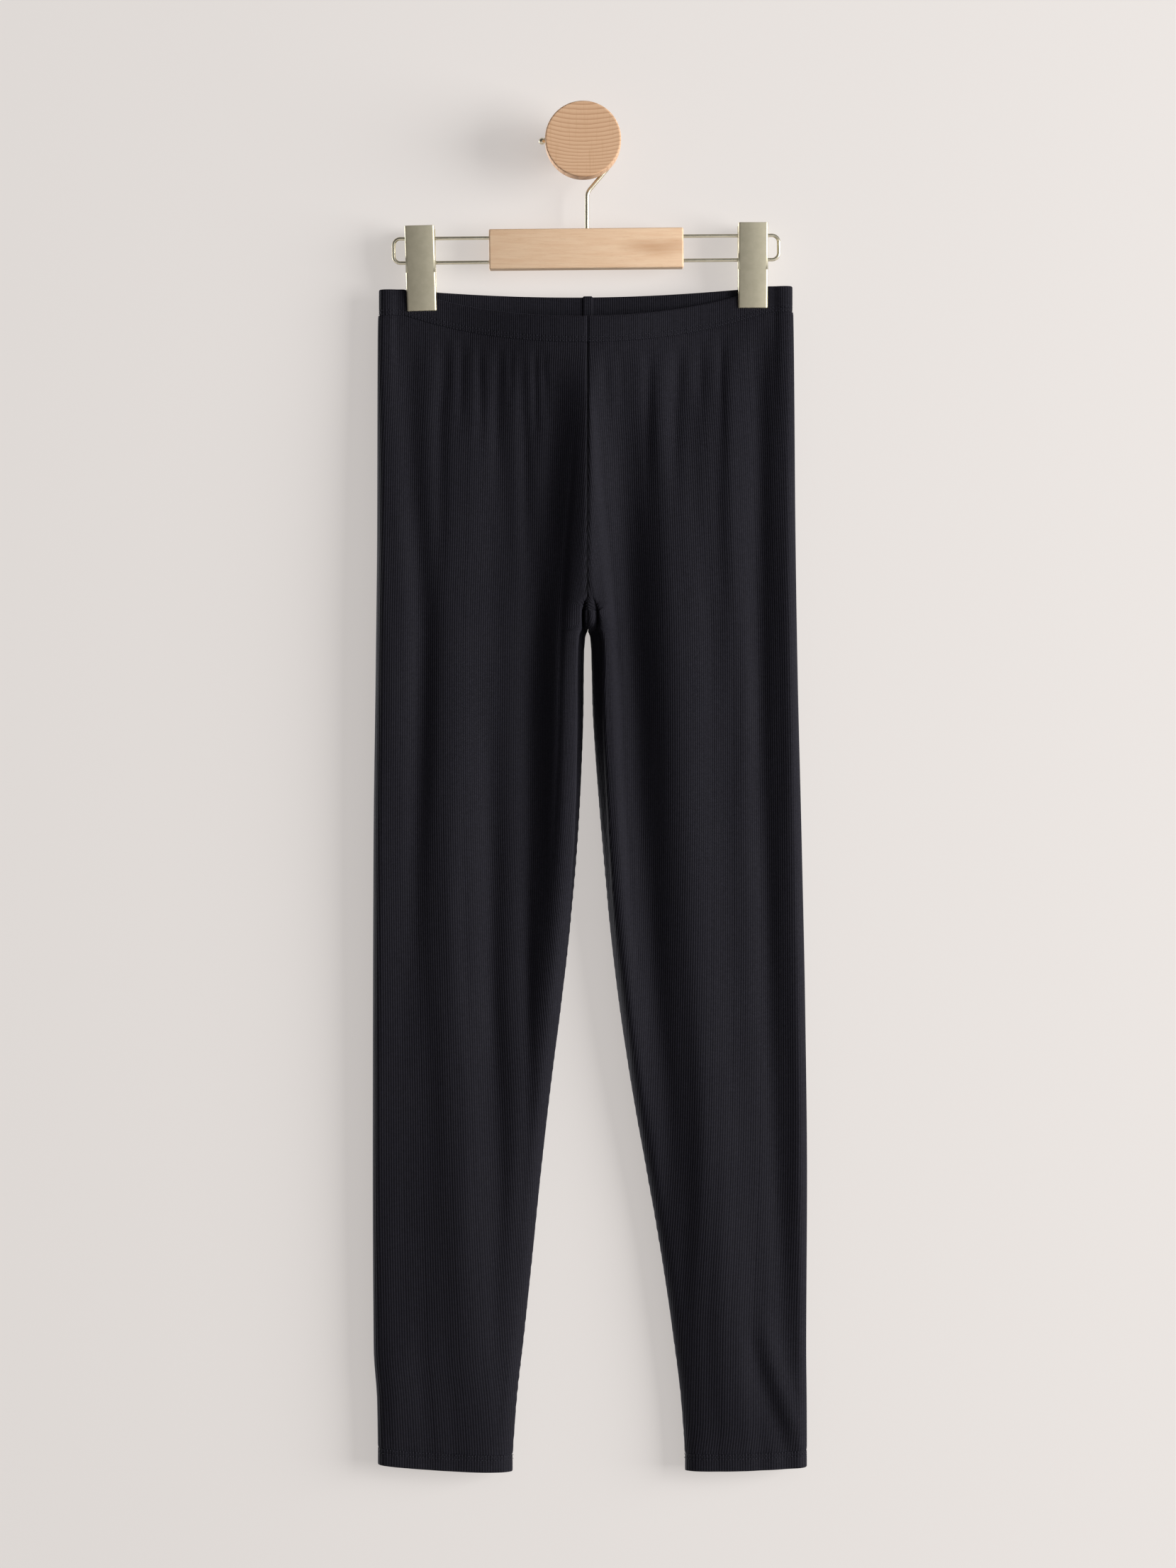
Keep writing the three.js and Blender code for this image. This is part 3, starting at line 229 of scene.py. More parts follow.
END_SINK = Sizes(depth=0.3, width=1.2)  # where cloth is sewn end to end
HEM_GROOVE = Sizes(depth=0.6, width=1.3)  # the inseam's groove in a hem
SEAM_GROOVE = Sizes(depth=0.9, width=1.2)  # the rise seams' groove on the outside of the casing
SEAM_RIDGE = Sizes(half_width=3.7, height=1.2, rise=1.0)  # their allowances inside it
FRONT_RISE = 0.4  # of the back ridge's rise over the casing's fold
TURNED_ROWS = [0, 0.5, 1.0, 1.7, 2.4, 3.1, 3.7, 4.3, 5.0, 6.0, 8.5, 11.5, 14.5, 17.5]

# Coverstitching: two rows of thread, and the dimples that it pulls into the cloth
STITCH = Sizes(pitch=2.7, length=2.1, radius=0.2, arch=0.35, sink=0.3, dimple=0.42, width=0.75)
STITCH_ROWS = (1.0, 4.1)  # from the edge that is sewn to the leg

# The hanger, in its own frame: X along the rods, the origin midway between them
HANGER_Z = -85.2
HANGER_TILT = math.radians(0.53)
BLOCK = Sizes(length=160.0, height=33.0, thickness=13.0, round=1.5, bore_gap=0.4)
ROD = Sizes(radius=1.5, spread=20.0, reach=160.0, corner=5.5, buried=40.0)
CLIP = Sizes(width=24.4, top=19.2, bottom=-50.1, sheet=1.2, flange=2.6, rim=1.8, lip=2.4,
             ear=4.6, ear_root=9.0, bend=1.7, edge=0.5)
CLIP_MOUTH = PINCH + BAND_WALL / 2 + 0.3
CLIP_SPREAD = 11.4
EAR_GAP = 0.3  # round the rod, and between two ears
FLANGE_EDGE = 0.3  # taken off the edges of a jaw's flanges
CLIPS = [("right", -136.4, math.radians(0.97)), ("left", 137.1, math.radians(-0.53))]
SPRING = Sizes(coil=2.45, wire=0.5, turns=3.5, pitch=1.7, leg=9.0)
HOOK = Sizes(radius=1.8, shank_x=3.3, bend_z=-38.6, bend_round=4.0, foot=20.0,
             arc_x=0.9, arc_z=-5.6, arc_radius=23.3,
             arc_from=math.radians(-38.7), arc_to=math.radians(115.5), tip_reach=27.2, tip_ball=2.9)
KNOB = Sizes(neck=15.5, neck_length=36.0, fillet=2.0, disc=31.0, thickness=18.0, edge=1.2)
HEARTWOOD = Sizes(x=0.001, z=0.115)  # in metres, the middle of the growth rings on the knob's face
SHARP_ANGLE = math.radians(35)


# Smooth tables and curves

def smooth_table(rows):
    """A smooth function through rows of (z, value), given from the top down."""
    z = np.array([row[0] for row in rows], float)[::-1]
    value = np.array([row[1] for row in rows], float)[::-1]
    slope = np.diff(value) / np.diff(z)
    product = slope[:-1] * slope[1:]
    total = np.where(np.abs(slope[:-1] + slope[1:]) < 1e-9, 1, slope[:-1] + slope[1:])
    gentle = np.where(product > 0, 2 * product / total, 0)
    tangent = np.concatenate([slope[:1], gentle, slope[-1:]])

    def at(level):
        level = np.clip(level, z[0], z[-1])
        i = np.clip(np.searchsorted(z, level, side="right") - 1, 0, len(z) - 2)
        span = z[i + 1] - z[i]
        t = (level - z[i]) / span
        return ((2 * t**3 - 3 * t**2 + 1) * value[i] + (t**3 - 2 * t**2 + t) * span * tangent[i]
                + (3 * t**2 - 2 * t**3) * value[i + 1] + (t**3 - t**2) * span * tangent[i + 1])

    return at


def clamp01(t):
    return np.clip(t, 0.0, 1.0)


def smooth(t):
    return clamp01(t)**2 * (3 - 2 * clamp01(t))


def mix(a, b, t):
    return a + (b - a) * t


def bell(off, width):
    return np.exp(-(off / width)**2)


outer_fold, inner_fold, depth_at, inner_strip = [
    {key: smooth_table(rows) for key, rows in tables.items()}
    for tables in (OUTER_FOLDS, INNER_FOLDS, DEPTHS, INNER_STRIP)]
rib_pitch = smooth_table(RIB_PITCH)
ribs_gathered = smooth_table(RIBS_GATHERED)
fold_shapes = {
    side: [(width, smooth_table([(z, x) for z, x, _ in path]), smooth_table([(z, h) for z, _, h in path]))
           for width, path in folds.values()]
    for side, folds in FOLDS.items()}


# The cloth's levels and depths

def waist_edge(x, side):
    across = clamp01(np.abs(x - HANGER_X) / DIP_HALF_SPAN)
    return WAIST_TOP + WAIST_TILT * (x - HANGER_X) - DIP[side] * (1 - across**2)


def hem_edge(x, leg):
    """The lower edge of a hem, which sags from its outer fold to its inner one."""
    outer = outer_fold[leg](HEM_LEVEL)
    inner = inner_fold[leg](HEM_LEVEL)
    sag = 1 - (1 - clamp01((x - outer) / (inner - outer)))**2
    edge, fall = HEM_EDGE[leg]
    return edge - fall * sag


def fold_height(side, x, z):
    height = np.zeros(np.broadcast(x, z).shape)
    for width, x_of, height_of in fold_shapes[side]:
        height = height + height_of(z) * bell(x - x_of(z), width * math.sqrt(2))
    return height


def hand_of_cloth(x, z, side):
    """The small unevenness of hanging jersey: low soft ridges that lean and wander."""
    lean = CLOTH_LEAN[side]
    ridges = (0.22 * np.sin(x / 4.9 + 0.9 * np.sin(z / 83 + lean) + lean)
              + 0.2 * np.sin(x / 8.3 + 1.7 + 1.2 * np.sin(z / 131 + 2 * lean))
              + 0.18 * np.sin(x / 3.1 + z / 210 + 1.4 * np.sin(z / 57)))
    return ridges * (0.55 + 0.45 * np.sin(x / 23 + z / 97 + lean))


def band_depth(x, side):
    off = np.abs(x - HANGER_X)
    bow = BOW[side] * (1 - clamp01(off / BOW_HALF_SPAN)**2)**2
    return PINCH + bow + (BAND_FOLD_HALF - PINCH) * smooth((off - DIP_HALF_SPAN - 4) / 8)


def hanging_plane(z):
    return HANG_Y + HEM_LEAN * smooth((CROTCH_Z - z) / 600)


def turned_under(z):
    return clamp01((CROTCH_TOP - z) / (CROTCH_TOP - CROTCH_Z))


def insets(width):
    """Distances in from an outer fold to an inner edge, one row for each width."""
    curve = 1 - np.cos(np.linspace(0, np.pi / 2, 18, endpoint=False))
    middle = np.linspace(0, 1, 150)
    span = np.asarray(width)[:, None] - OUTER_ROUND - INNER_ROUND
    full = np.ones_like(span)
    return np.hstack([OUTER_ROUND * curve * full, OUTER_ROUND + span * middle,
                      (np.asarray(width)[:, None] - INNER_ROUND * curve)[:, ::-1]])


def leg_points(leg, side, levels, wall):
    """The middle of a leg's cloth on one side: a row of points for each level, the outer fold first."""
    outward = OUTWARD[leg]
    level = levels[:, None]
    under = turned_under(level)
    outer = outer_fold[leg](level) - outward * wall / 2
    seam_x = SEAM_X + (BACK_SEAM_OFF * (1 - under**4) if side == "back" else 0)
    inner = np.where(under < 1, seam_x + outward * SEAM_GAP / 2, inner_fold[leg](level) + outward * wall / 2)
    width = np.abs(outer - inner)
    inset = insets(width[:, 0])
    x = outer - outward * inset
    to_inner = width - inset
    at_waist = 1 - smooth((LEG_TOP - level) / (LEG_TOP - WAIST_BLEND_TO))
    swell_round = mix(OUTER_ROUND, BAND_END_ROUND, at_waist)
    depth = mix(depth_at[side](level), band_depth(x, side) + (BAND_WALL - wall) / 2, at_waist)
    folds = fold_height(side, x, level) + hand_of_cloth(x, level, side)
    spare = depth + folds * smooth((LEG_TOP - level) / FOLDS_FULL) - wall / 2 - LAYERS_APART
    depth = wall / 2 + LAYERS_APART + (spare + np.hypot(spare, TROUGH_REST)) / 2
    outer_swell = np.sqrt(1 - (1 - clamp01(inset / swell_round))**2)
    inner_swell = np.sqrt(1 - (under * (1 - clamp01(to_inner / INNER_ROUND)))**2)
    if side == "front":
        across = to_inner / inner_strip[leg](level)
        in_strip = 1 - smooth((across - STRIP_EDGE[0]) / STRIP_EDGE[1])
        turned_back = smooth((CROTCH_TOP - level) / STRIP_DROP) * in_strip
        notch = 1 - turned_back * (1 - STRIP_LEVEL[leg] * across**0.8)
        tongue = np.sqrt(clamp01(1 - (to_inner / TONGUE[leg])**4 - under**6))
        crisp = smooth((level - STRIP_FADE[1]) / (STRIP_FADE[0] - STRIP_FADE[1])) * (under > 0)
        inner_swell = mix(inner_swell, np.maximum(notch, tongue), crisp)
    skew = INNER_SKEW * under * (1 - clamp01(to_inner / SKEW_WIDTH))**2
    gap = np.where((to_inner < 1e-6) & (under >= 1), SEAM_GAP / 2, 0)
    y = hanging_plane(level) + skew + SIDE_SIGN[side] * (depth * outer_swell * inner_swell + gap)
    waist_shift = waist_edge(x, side) - BAND_HEIGHT - SEAM_GAP - LEG_TOP
    hem_shift = hem_edge(x, leg) + HEM_HEIGHT + SEAM_GAP - LEG_BOTTOM
    z = level + waist_shift * at_waist + hem_shift * smooth((HEM_BLEND[0] - level) / HEM_BLEND[1])
    return np.stack([x, y, z], axis=-1)


def wrapped(front, back):
    """Joins both sides into rows from the front's inner edge round the outer fold to the back's."""
    return np.concatenate([front[:, ::-1], back[:, 1:]], axis=1)


def lengths_along(points):
    step = np.linalg.norm(np.diff(points, axis=-2), axis=-1)
    return np.concatenate([np.zeros((*step.shape[:-1], 1)), np.cumsum(step, axis=-1)], axis=-1)


def distance_round(points):
    """Distances along each row, 0 at the outer fold, positive on the front and negative on the back."""
    along = lengths_along(points)
    fold = points.shape[1] // 2
    return along[:, fold:fold + 1] - along


def unit(vectors):
    return vectors / np.linalg.norm(vectors, axis=-1, keepdims=True)


def outward_normals(points, hand):
    across = np.gradient(points, axis=1)
    down = np.gradient(points, axis=0)
    return unit(hand * np.cross(across, down))


def take(values, along, wanted):
    """Reads rows of vectors, known at falling distances, at the wanted distances."""
    read = [[np.interp(-want, -dist, row[:, i]) for i in range(3)]
            for row, dist, want in zip(values, along, wanted)]
    return np.moveaxis(np.array(read), 1, 2)


# Meshes

def add_object(name, data):
    thing = bpy.data.objects.new(name, data)
    bpy.context.scene.collection.objects.link(thing)
    return thing


def make_mesh(name, vertices, faces, knit=None):
    """A mesh object in metres from vertices in millimetres. knit holds each vertex's place in the knit:
    how many ribs round, how many millimetres down, and how near to a seam, which the jersey darkens as
    painted shadow."""
    mesh = bpy.data.meshes.new(name)
    mesh.from_pydata((np.asarray(vertices) * MM).tolist(), [], faces)
    if knit is not None:
        place = mesh.attributes.new("knit", "FLOAT_VECTOR", "POINT")
        place.data.foreach_set("vector", np.asarray(knit, np.float32).ravel())
    mesh.update()
    if signed_volume(mesh) < 0:
        mesh.flip_normals()
    mesh.shade_smooth()
    return add_object(name, mesh)


def signed_volume(mesh):
    mesh.calc_loop_triangles()
    co = np.empty(len(mesh.vertices) * 3)
    mesh.vertices.foreach_get("co", co)
    tri = np.empty(len(mesh.loop_triangles) * 3, np.int32)
    mesh.loop_triangles.foreach_get("vertices", tri)
    a, b, c = np.moveaxis(co.reshape(-1, 3)[tri.reshape(-1, 3)], 1, 0)
    return np.einsum("ij,ij->i", a, np.cross(b, c)).sum() / 6


def quads_between(upper, lower):
    """Faces between two rows of vertex numbers. Where neighbours are one vertex, triangles or nothing."""
    faces = []
    for a, b, c, d in zip(upper[:-1], upper[1:], lower[1:], lower[:-1]):
        if a != b and c != d:
            faces.append((a, b, c, d))
        elif a != b:
            faces.append((a, b, c))
        elif c != d:
            faces.append((a, c, d))
    return faces


def zip_chains(left, right):
    """Triangles between two chains of (place, vertex) that run side by side."""
    faces = []
    i = j = 0
    while i < len(left) - 1 or j < len(right) - 1:
        next_left = left[i + 1][0] if i < len(left) - 1 else math.inf
        next_right = right[j + 1][0] if j < len(right) - 1 else math.inf
        if next_left <= next_right:
            face = (left[i][1], right[j][1], left[i + 1][1])
            i += 1
        else:
            face = (left[i][1], right[j][1], right[j + 1][1])
            j += 1
        if len(set(face)) == 3:
            faces.append(face)
    return faces


rng = np.random.default_rng(11)
RIB_UNEVEN = 1 + 0.12 * rng.standard_normal(4 * RIB_COUNT + 8)


def rib_lift(k):
    """How far the knit's surface lies below its crests at mesh column k."""
    crest = RIB_PROFILE[k % RIB_COLUMNS]
    rib = k // RIB_COLUMNS
    return -RIB_DEPTH * RIB_UNEVEN[rib + 2 * RIB_COUNT] * (1 - crest)


# The legs

def leg_levels():
    """The levels of a leg's rows: close together at both ends and round the crotch, where the seam turns."""
    top = LEG_TOP - np.array([0, 0.8, 2.0, 4.5])
    above = np.arange(LEG_TOP - 9, CROTCH_TOP + 5, -9.5)
    crotch = np.linspace(CROTCH_TOP, CROTCH_Z, 13)
    below = np.linspace(CROTCH_Z - 3, LEG_BOTTOM + 6, 72)
    bottom = LEG_BOTTOM + np.array([2.6, 1.0, 0])
    return np.concatenate([top, above, crotch, below, bottom])


def knit_columns(leg, levels):
    """Where the mesh columns of the knit lie on a leg's cloth at these levels. Those that would pass an edge
    of the panel lie on it."""
    points = wrapped(*(leg_points(leg, side, levels, LEG_WALL) for side in SIDE_SIGN))
    along = distance_round(points)
    k = np.arange(RIB_COUNT * RIB_COLUMNS, -RIB_COUNT * RIB_COLUMNS - 1, -1)
    spacing = rib_pitch(levels)[:, None] / RIB_COLUMNS
    wander = RIB_WANDER * np.sin(k / 37 + levels[:, None] / 61) * clamp01(np.abs(k) / 40)
    front_end = along[:, :1]
    back_end = along[:, -1:]
    wanted = leaning(k * spacing, front_end, back_end, levels, spacing) + wander
    at_front = wanted > front_end - spacing / 3
    at_back = wanted < back_end + spacing / 3
    wanted = np.where(at_front, front_end, np.where(at_back, back_end, wanted))
    return points, along, k, wanted, at_front, at_back


def leaning(plain, front_end, back_end, levels, spacing):
    """Places of the columns with the ribs that the panel's edges gather towards the crotch: these come out of
    the rise seam above it, run off at the inseam below it, and the ones beside them lean with them."""
    places = np.array(plain)
    off = np.linspace(0, RIDGE_TO_FOLD + GATHER_WIDTH, 60)
    turned_back = RIDGE_TO_FOLD * turned_under(levels)
    extra = ribs_gathered(levels) * RIB_COLUMNS * spacing[:, 0]
    for j in range(len(levels)):
        gathered = extra[j] * (1 - smooth((off - turned_back[j]) / GATHER_WIDTH))
        for end, sign in ((front_end[j, 0], 1), (-back_end[j, 0], -1)):
            count = (end - off + gathered)[::-1]
            beside = sign * plain[j] > count[0]
            places[j, beside] = sign * np.interp(sign * plain[j, beside], count, (end - off)[::-1],
                                                 right=2 * end)
    return places


def leg_panel(leg):
    """One panel wrapped round a leg: a closed wall, ribbed outside and plain inside."""
    levels = leg_levels()
    points, along, k, wanted, at_front, at_back = knit_columns(leg, levels)
    normals = outward_normals(points, -OUTWARD[leg])
    at = take(points, along, wanted)
    normal = unit(take(normals, along, wanted))

    to_edge = np.minimum(along[:, :1] - wanted, wanted - along[:, -1:])
    roll = -EDGE_ROLL.depth * bell(to_edge, EDGE_ROLL.width)
    to_end = np.minimum(LEG_TOP - levels, levels - LEG_BOTTOM)[:, None]
    sink = -END_SINK.depth * bell(to_end, END_SINK.width)
    at_edge = at_front | at_back
    lift = LEG_WALL / 2 + np.where(at_edge, -RIB_DEPTH / 2, rib_lift(k)[None, :]) + roll + sink
    outer = at + normal * lift[..., None]
    inner = at - normal * LEG_WALL / 2
    on_rise = at_edge & (levels[:, None] > CROTCH_Z)
    on_inseam = at_edge & (levels[:, None] <= CROTCH_Z)
    for surface in (outer, inner):
        surface[..., 0] = np.where(on_rise, at[..., 0], surface[..., 0])
        surface[..., 1] = np.where(on_inseam, at[..., 1], surface[..., 1])

    # Columns that lie together on an edge share one vertex in each row
    last_front = at_front.sum(axis=1) - 1
    first_back = len(k) - at_back.sum(axis=1)
    column = np.arange(len(k))[None, :]
    column = np.where(at_front, last_front[:, None], np.where(at_back, first_back[:, None], column))
    number = column + np.arange(len(levels))[:, None] * len(k)
    used, compact = np.unique(number, return_inverse=True)
    ids = compact.reshape(number.shape)
    plain = [0, *[i for i in range(1, len(k) - 1)
                  if k[i] % (FOLD_STRIDE if abs(k[i]) <= FOLD_REACH else PLAIN_STRIDE) == 0], len(k) - 1]
    inner_used, inner_compact = np.unique(number[:, plain], return_inverse=True)
    inner_ids = inner_compact.reshape(len(levels), len(plain)) + len(used)

    faces = []
    for j in range(len(levels) - 1):
        faces += quads_between(ids[j].tolist(), ids[j + 1].tolist())
        faces += quads_between(inner_ids[j + 1].tolist(), inner_ids[j].tolist())
    for j in (0, len(levels) - 1):
        whole = list(zip(range(len(k)), ids[j].tolist()))
        coarse = list(zip(plain, inner_ids[j].tolist()))
        faces += zip_chains(coarse, whole) if j == 0 else zip_chains(whole, coarse)
    faces += quads_between(inner_ids[:, 0].tolist(), ids[:, 0].tolist())
    faces += quads_between(ids[:, -1].tolist(), inner_ids[:, -1].tolist())

    # The third value is nearness to a sewn edge, which the jersey darkens as a painted shadow.
    place = np.stack(np.broadcast_arrays(k / RIB_COLUMNS, (LEG_TOP - levels)[:, None],
                                         bell(to_edge, SEAM_SHADE)), axis=-1)
    outer, inner, place = [values.reshape(-1, 3) for values in (outer, inner, place)]
    return make_mesh(f"{leg}_leg_jersey", np.vstack([outer[used], inner[inner_used]]), faces,
                     np.vstack([place[used], place[inner_used]]))


# The casing and the hems are rings of turned cloth, whose ribs go on from the legs'. A ring is the points
# and outward directions of its middle at level 0, with their columns, the outer fold's sides and its edges.

def ring_half(section, leg, level):
    """Half a ring or a whole one, from the front's inner edge round the outer fold to the back's. section
    gives its points; its columns take the same shares of it as the leg's do at that level."""
    _, leg_along, k, wanted, at_front, at_back = knit_columns(leg, np.array([level]))
    ends = np.where(wanted >= 0, leg_along[:, :1], -leg_along[:, -1:])
    along = distance_round(section)
    lengths = np.where(wanted >= 0, along[:, :1], -along[:, -1:])
    across = np.gradient(section, axis=1)
    normals = unit(np.cross(across, (0, 0, -1)) * -OUTWARD[leg])
    places = wanted / ends * lengths
    at = take(section, along, places)[0]
    normal = unit(take(normals, along, places)[0])
    keep = np.arange(at_front.sum() - 1, len(k) - at_back.sum() + 1)
    edge = np.zeros(len(keep), bool)
    edge[[0, -1]] = True
    side = np.where(wanted[0][keep] >= 0, 1, -1)
    return {"at": at[keep], "normal": normal[keep], "k": k[keep], "edge": edge, "side": side}


def part_of(ring, chosen):
    return {key: values[chosen] for key, values in ring.items()}


def waist_section(leg):
    outward = OUTWARD[leg]
    outer = outer_fold[leg](WAIST_TOP) - outward * BAND_WALL / 2
    inset = insets(np.array([abs(outer - SEAM_X)]))
    x = outer - outward * inset
    swell = np.sqrt(1 - (1 - clamp01(inset / BAND_END_ROUND))**2)
    return wrapped(*(np.stack([x, HANG_Y + sign * band_depth(x, side) * swell, waist_edge(x, side)], axis=-1)
                     for side, sign in SIDE_SIGN.items()))


def hem_section(leg):
    thinner = (HEM_WALL - LEG_WALL) / 2
    plane = hanging_plane(LEG_BOTTOM)
    runs = []
    for side in SIDE_SIGN:
        run = leg_points(leg, side, np.array([LEG_BOTTOM]), HEM_WALL)
        off = run[..., 1] - plane
        run[..., 1] -= np.sign(off) * np.minimum(thinner, np.abs(off) / 4)
        run[..., 2] = hem_edge(run[..., 0], leg) + HEM_HEIGHT
        runs.append(run)
    return wrapped(*runs)


def turned_profile(height, wall):
    """The outline of turned cloth in a section, as (distance from its sewn edge, lift)."""
    half = wall / 2
    face = [d for d in TURNED_ROWS if d < height - half - 0.3]
    turn = [(height - half + half * math.sin(a), half * math.cos(a)) for a in np.radians([0, 24, 48, 70])]
    outside = [(d, half) for d in face] + turn
    return outside + [(height, 0.0)] + [(d, -lift) for d, lift in outside[::-1]]


def ring_wall(name, ring, height, wall, down, shape):
    """A closed ring of turned cloth. down is 1 where its sewn edge is the upper one and -1 where it is the
    lower one. shape(distance, lift, ring) gives each column's extra lift and rise."""
    ribs = np.where(ring["edge"], -RIB_DEPTH / 2, rib_lift(ring["k"]))
    run = lengths_along(ring["at"])
    pull = 0.62 + 0.38 * np.cos(2 * np.pi * run / STITCH.pitch)
    profile = turned_profile(height, wall)
    rows = []
    places = []
    for distance, lift in profile:
        extra, rise = shape(distance, lift, ring)
        for row in STITCH_ROWS:
            extra = extra - STITCH.dimple * pull * bell(distance - row, STITCH.width)
        extra = extra - END_SINK.depth * bell(distance, END_SINK.width)
        weight = 2 * lift / wall
        level = -distance if down > 0 else distance - height
        point = ring["at"] + ring["normal"] * (lift + weight * (ribs + extra))[:, None]
        point[:, 2] += level + rise
        rows.append(point)
        places.append(np.stack([ring["k"] / RIB_COLUMNS, np.full(len(run), -level), 0 * run], axis=-1))
    count = len(run)
    faces = []
    for r in range(len(profile)):
        here = np.append(np.arange(count), 0) + r * count
        there = np.append(np.arange(count), 0) + (r + 1) % len(profile) * count
        faces += quads_between(here.tolist(), there.tolist())
    return make_mesh(name, np.vstack(rows), faces, np.vstack(places))


def waist_casing():
    """The casing, with the allowances of the rise seams as a ridge inside it."""
    right, left = (ring_half(waist_section(leg), leg, LEG_TOP) for leg in OUTWARD)
    left = part_of(left, slice(-2, 0, -1))
    ring = {key: np.concatenate([right[key], left[key]]) for key in right}

    def shape(distance, lift, ring):
        off = np.abs(ring["at"][:, 0] - SEAM_X)
        ridge = smooth(SEAM_RIDGE.half_width + 0.5 - off)
        rise = SEAM_RIDGE.rise * ridge * float(smooth((distance - BAND_HEIGHT + 4) / 4))
        groove = -SEAM_GROOVE.depth * bell(off, SEAM_GROOVE.width)
        extra = groove if lift > 0 else SEAM_RIDGE.height * ridge
        return extra, np.where(ring["side"] < 0, rise, FRONT_RISE * rise)

    casing = ring_wall("waist_casing_jersey", ring, BAND_HEIGHT, BAND_WALL, -1, shape)
    levels = [row - BAND_HEIGHT for row in STITCH_ROWS]
    return casing, stitching("waist_stitching", ring, levels, BAND_WALL / 2)


def ankle_hem(leg):
    """A turned hem, closed by the inseam at its inner fold."""
    ring = part_of(ring_half(hem_section(leg), leg, LEG_BOTTOM), slice(0, -1))

    def shape(distance, lift, ring):
        off = ring["at"][:, 0] - ring["at"][0, 0]
        return -HEM_GROOVE.depth * bell(off, HEM_GROOVE.width) * (lift > 0), 0

    hem = ring_wall(f"{leg}_hem_jersey", ring, HEM_HEIGHT, HEM_WALL, 1, shape)
    return hem, stitching(f"{leg}_hem_stitching", ring, [-row for row in STITCH_ROWS], HEM_WALL / 2)


def stitching(name, ring, levels, lift):
    """Rows of thread on the outside of a ring, each stitch a short round bar that dives in at both ends."""
    closed = {key: np.concatenate([ring[key], ring[key][:1]]) for key in ("at", "normal")}
    run = lengths_along(closed["at"])
    stitches = round(run[-1] / STITCH.pitch)
    share = np.linspace(0, 1, 5)
    arch = lift + STITCH.arch * (1 - (2 * share - 1)**2) - STITCH.sink
    turn = np.linspace(0, 2 * np.pi, 6, endpoint=False)
    vertices = []
    faces = []
    for level in levels:
        for n in range(stitches):
            along = (n + 0.1 + share * STITCH.length / STITCH.pitch) * run[-1] / stitches
            along += 0.12 * math.sin(n * 2.3)
            at = np.stack([np.interp(along, run, closed["at"][:, i]) for i in range(3)], axis=-1)
            out = np.stack([np.interp(along, run, closed["normal"][:, i]) for i in range(3)], axis=-1)
            taper = STITCH.radius * (1 - 0.75 * np.abs(2 * share - 1)**3)
            middle = at + out * arch[:, None] + (0, 0, level + 0.1 * math.sin(n * 1.7))
            rings = (middle[:, None] + out[:, None] * (taper[:, None] * np.cos(turn))[..., None]
                     + np.array([0, 0, 1.0]) * (taper[:, None] * np.sin(turn))[..., None])
            base = len(vertices) * len(share) * len(turn)
            vertices.append(rings.reshape(-1, 3))
            faces += tube_faces(len(share), len(turn), base)
    return make_mesh(name, np.vstack(vertices), faces)


# Wires and turned pieces

def tube_faces(rings, sides, base=0):
    faces = []
    for r in range(rings - 1):
        for i in range(sides):
            a, b = base + r * sides + i, base + r * sides + (i + 1) % sides
            faces.append((a, b, b + sides, a + sides))
    faces.append(tuple(base + i for i in reversed(range(sides))))
    faces.append(tuple(base + (rings - 1) * sides + i for i in range(sides)))
    return faces


def wire(name, points, radius, sides=16):
    """A round wire along a path, with its ends rounded over."""
    first = (points[1] - points[0]).normalized()
    last = (points[-1] - points[-2]).normalized()
    ends = [(math.cos(a), math.sin(a)) for a in np.radians([8, 35, 62])]
    stations = [(points[0] + first * radius * (1 - c), first, radius * s) for c, s in ends]
    for i, point in enumerate(points[1:-1], 1):
        heading = (points[i + 1] - points[i - 1]).normalized()
        stations.append((point, heading, radius))
    stations += [(points[-1] - last * radius * (1 - c), last, radius * s) for c, s in reversed(ends)]
    side = first.orthogonal().normalized()
    vertices = []
    for point, heading, reach in stations:
        side = (side - heading * side.dot(heading)).normalized()
        other = heading.cross(side)
        vertices += [point + side * reach * math.cos(a) + other * reach * math.sin(a)
                     for a in np.linspace(0, 2 * math.pi, sides, endpoint=False)]
    return make_mesh(name, [tuple(v) for v in vertices], tube_faces(len(stations), sides))


def arc(x, z, radius, start, end, steps):
    return [(x + radius * math.cos(a), z + radius * math.sin(a)) for a in np.linspace(start, end, steps + 1)]


def in_plane(points):
    return [Vector((x, 0, z)) for x, z in points]


def turned(name, profile, segments=128):
    """A turned piece round the Y axis from (radius, y) points, whose first and last lie on the axis."""
    angles = np.linspace(0, 2 * math.pi, segments, endpoint=False)
    rows = [[(r * math.cos(a), y, r * math.sin(a)) for a in angles] for r, y in profile[1:-1]]
    vertices = [point for row in rows for point in row]
    faces = tube_faces(len(rows), segments)[:-2]
    first, last = len(vertices), len(vertices) + 1
    vertices += [(0, profile[0][1], 0), (0, profile[-1][1], 0)]
    top = (len(rows) - 1) * segments
    for i in range(segments):
        j = (i + 1) % segments
        faces += [(first, j, i), (last, top + i, top + j)]
    return make_mesh(name, vertices, faces)


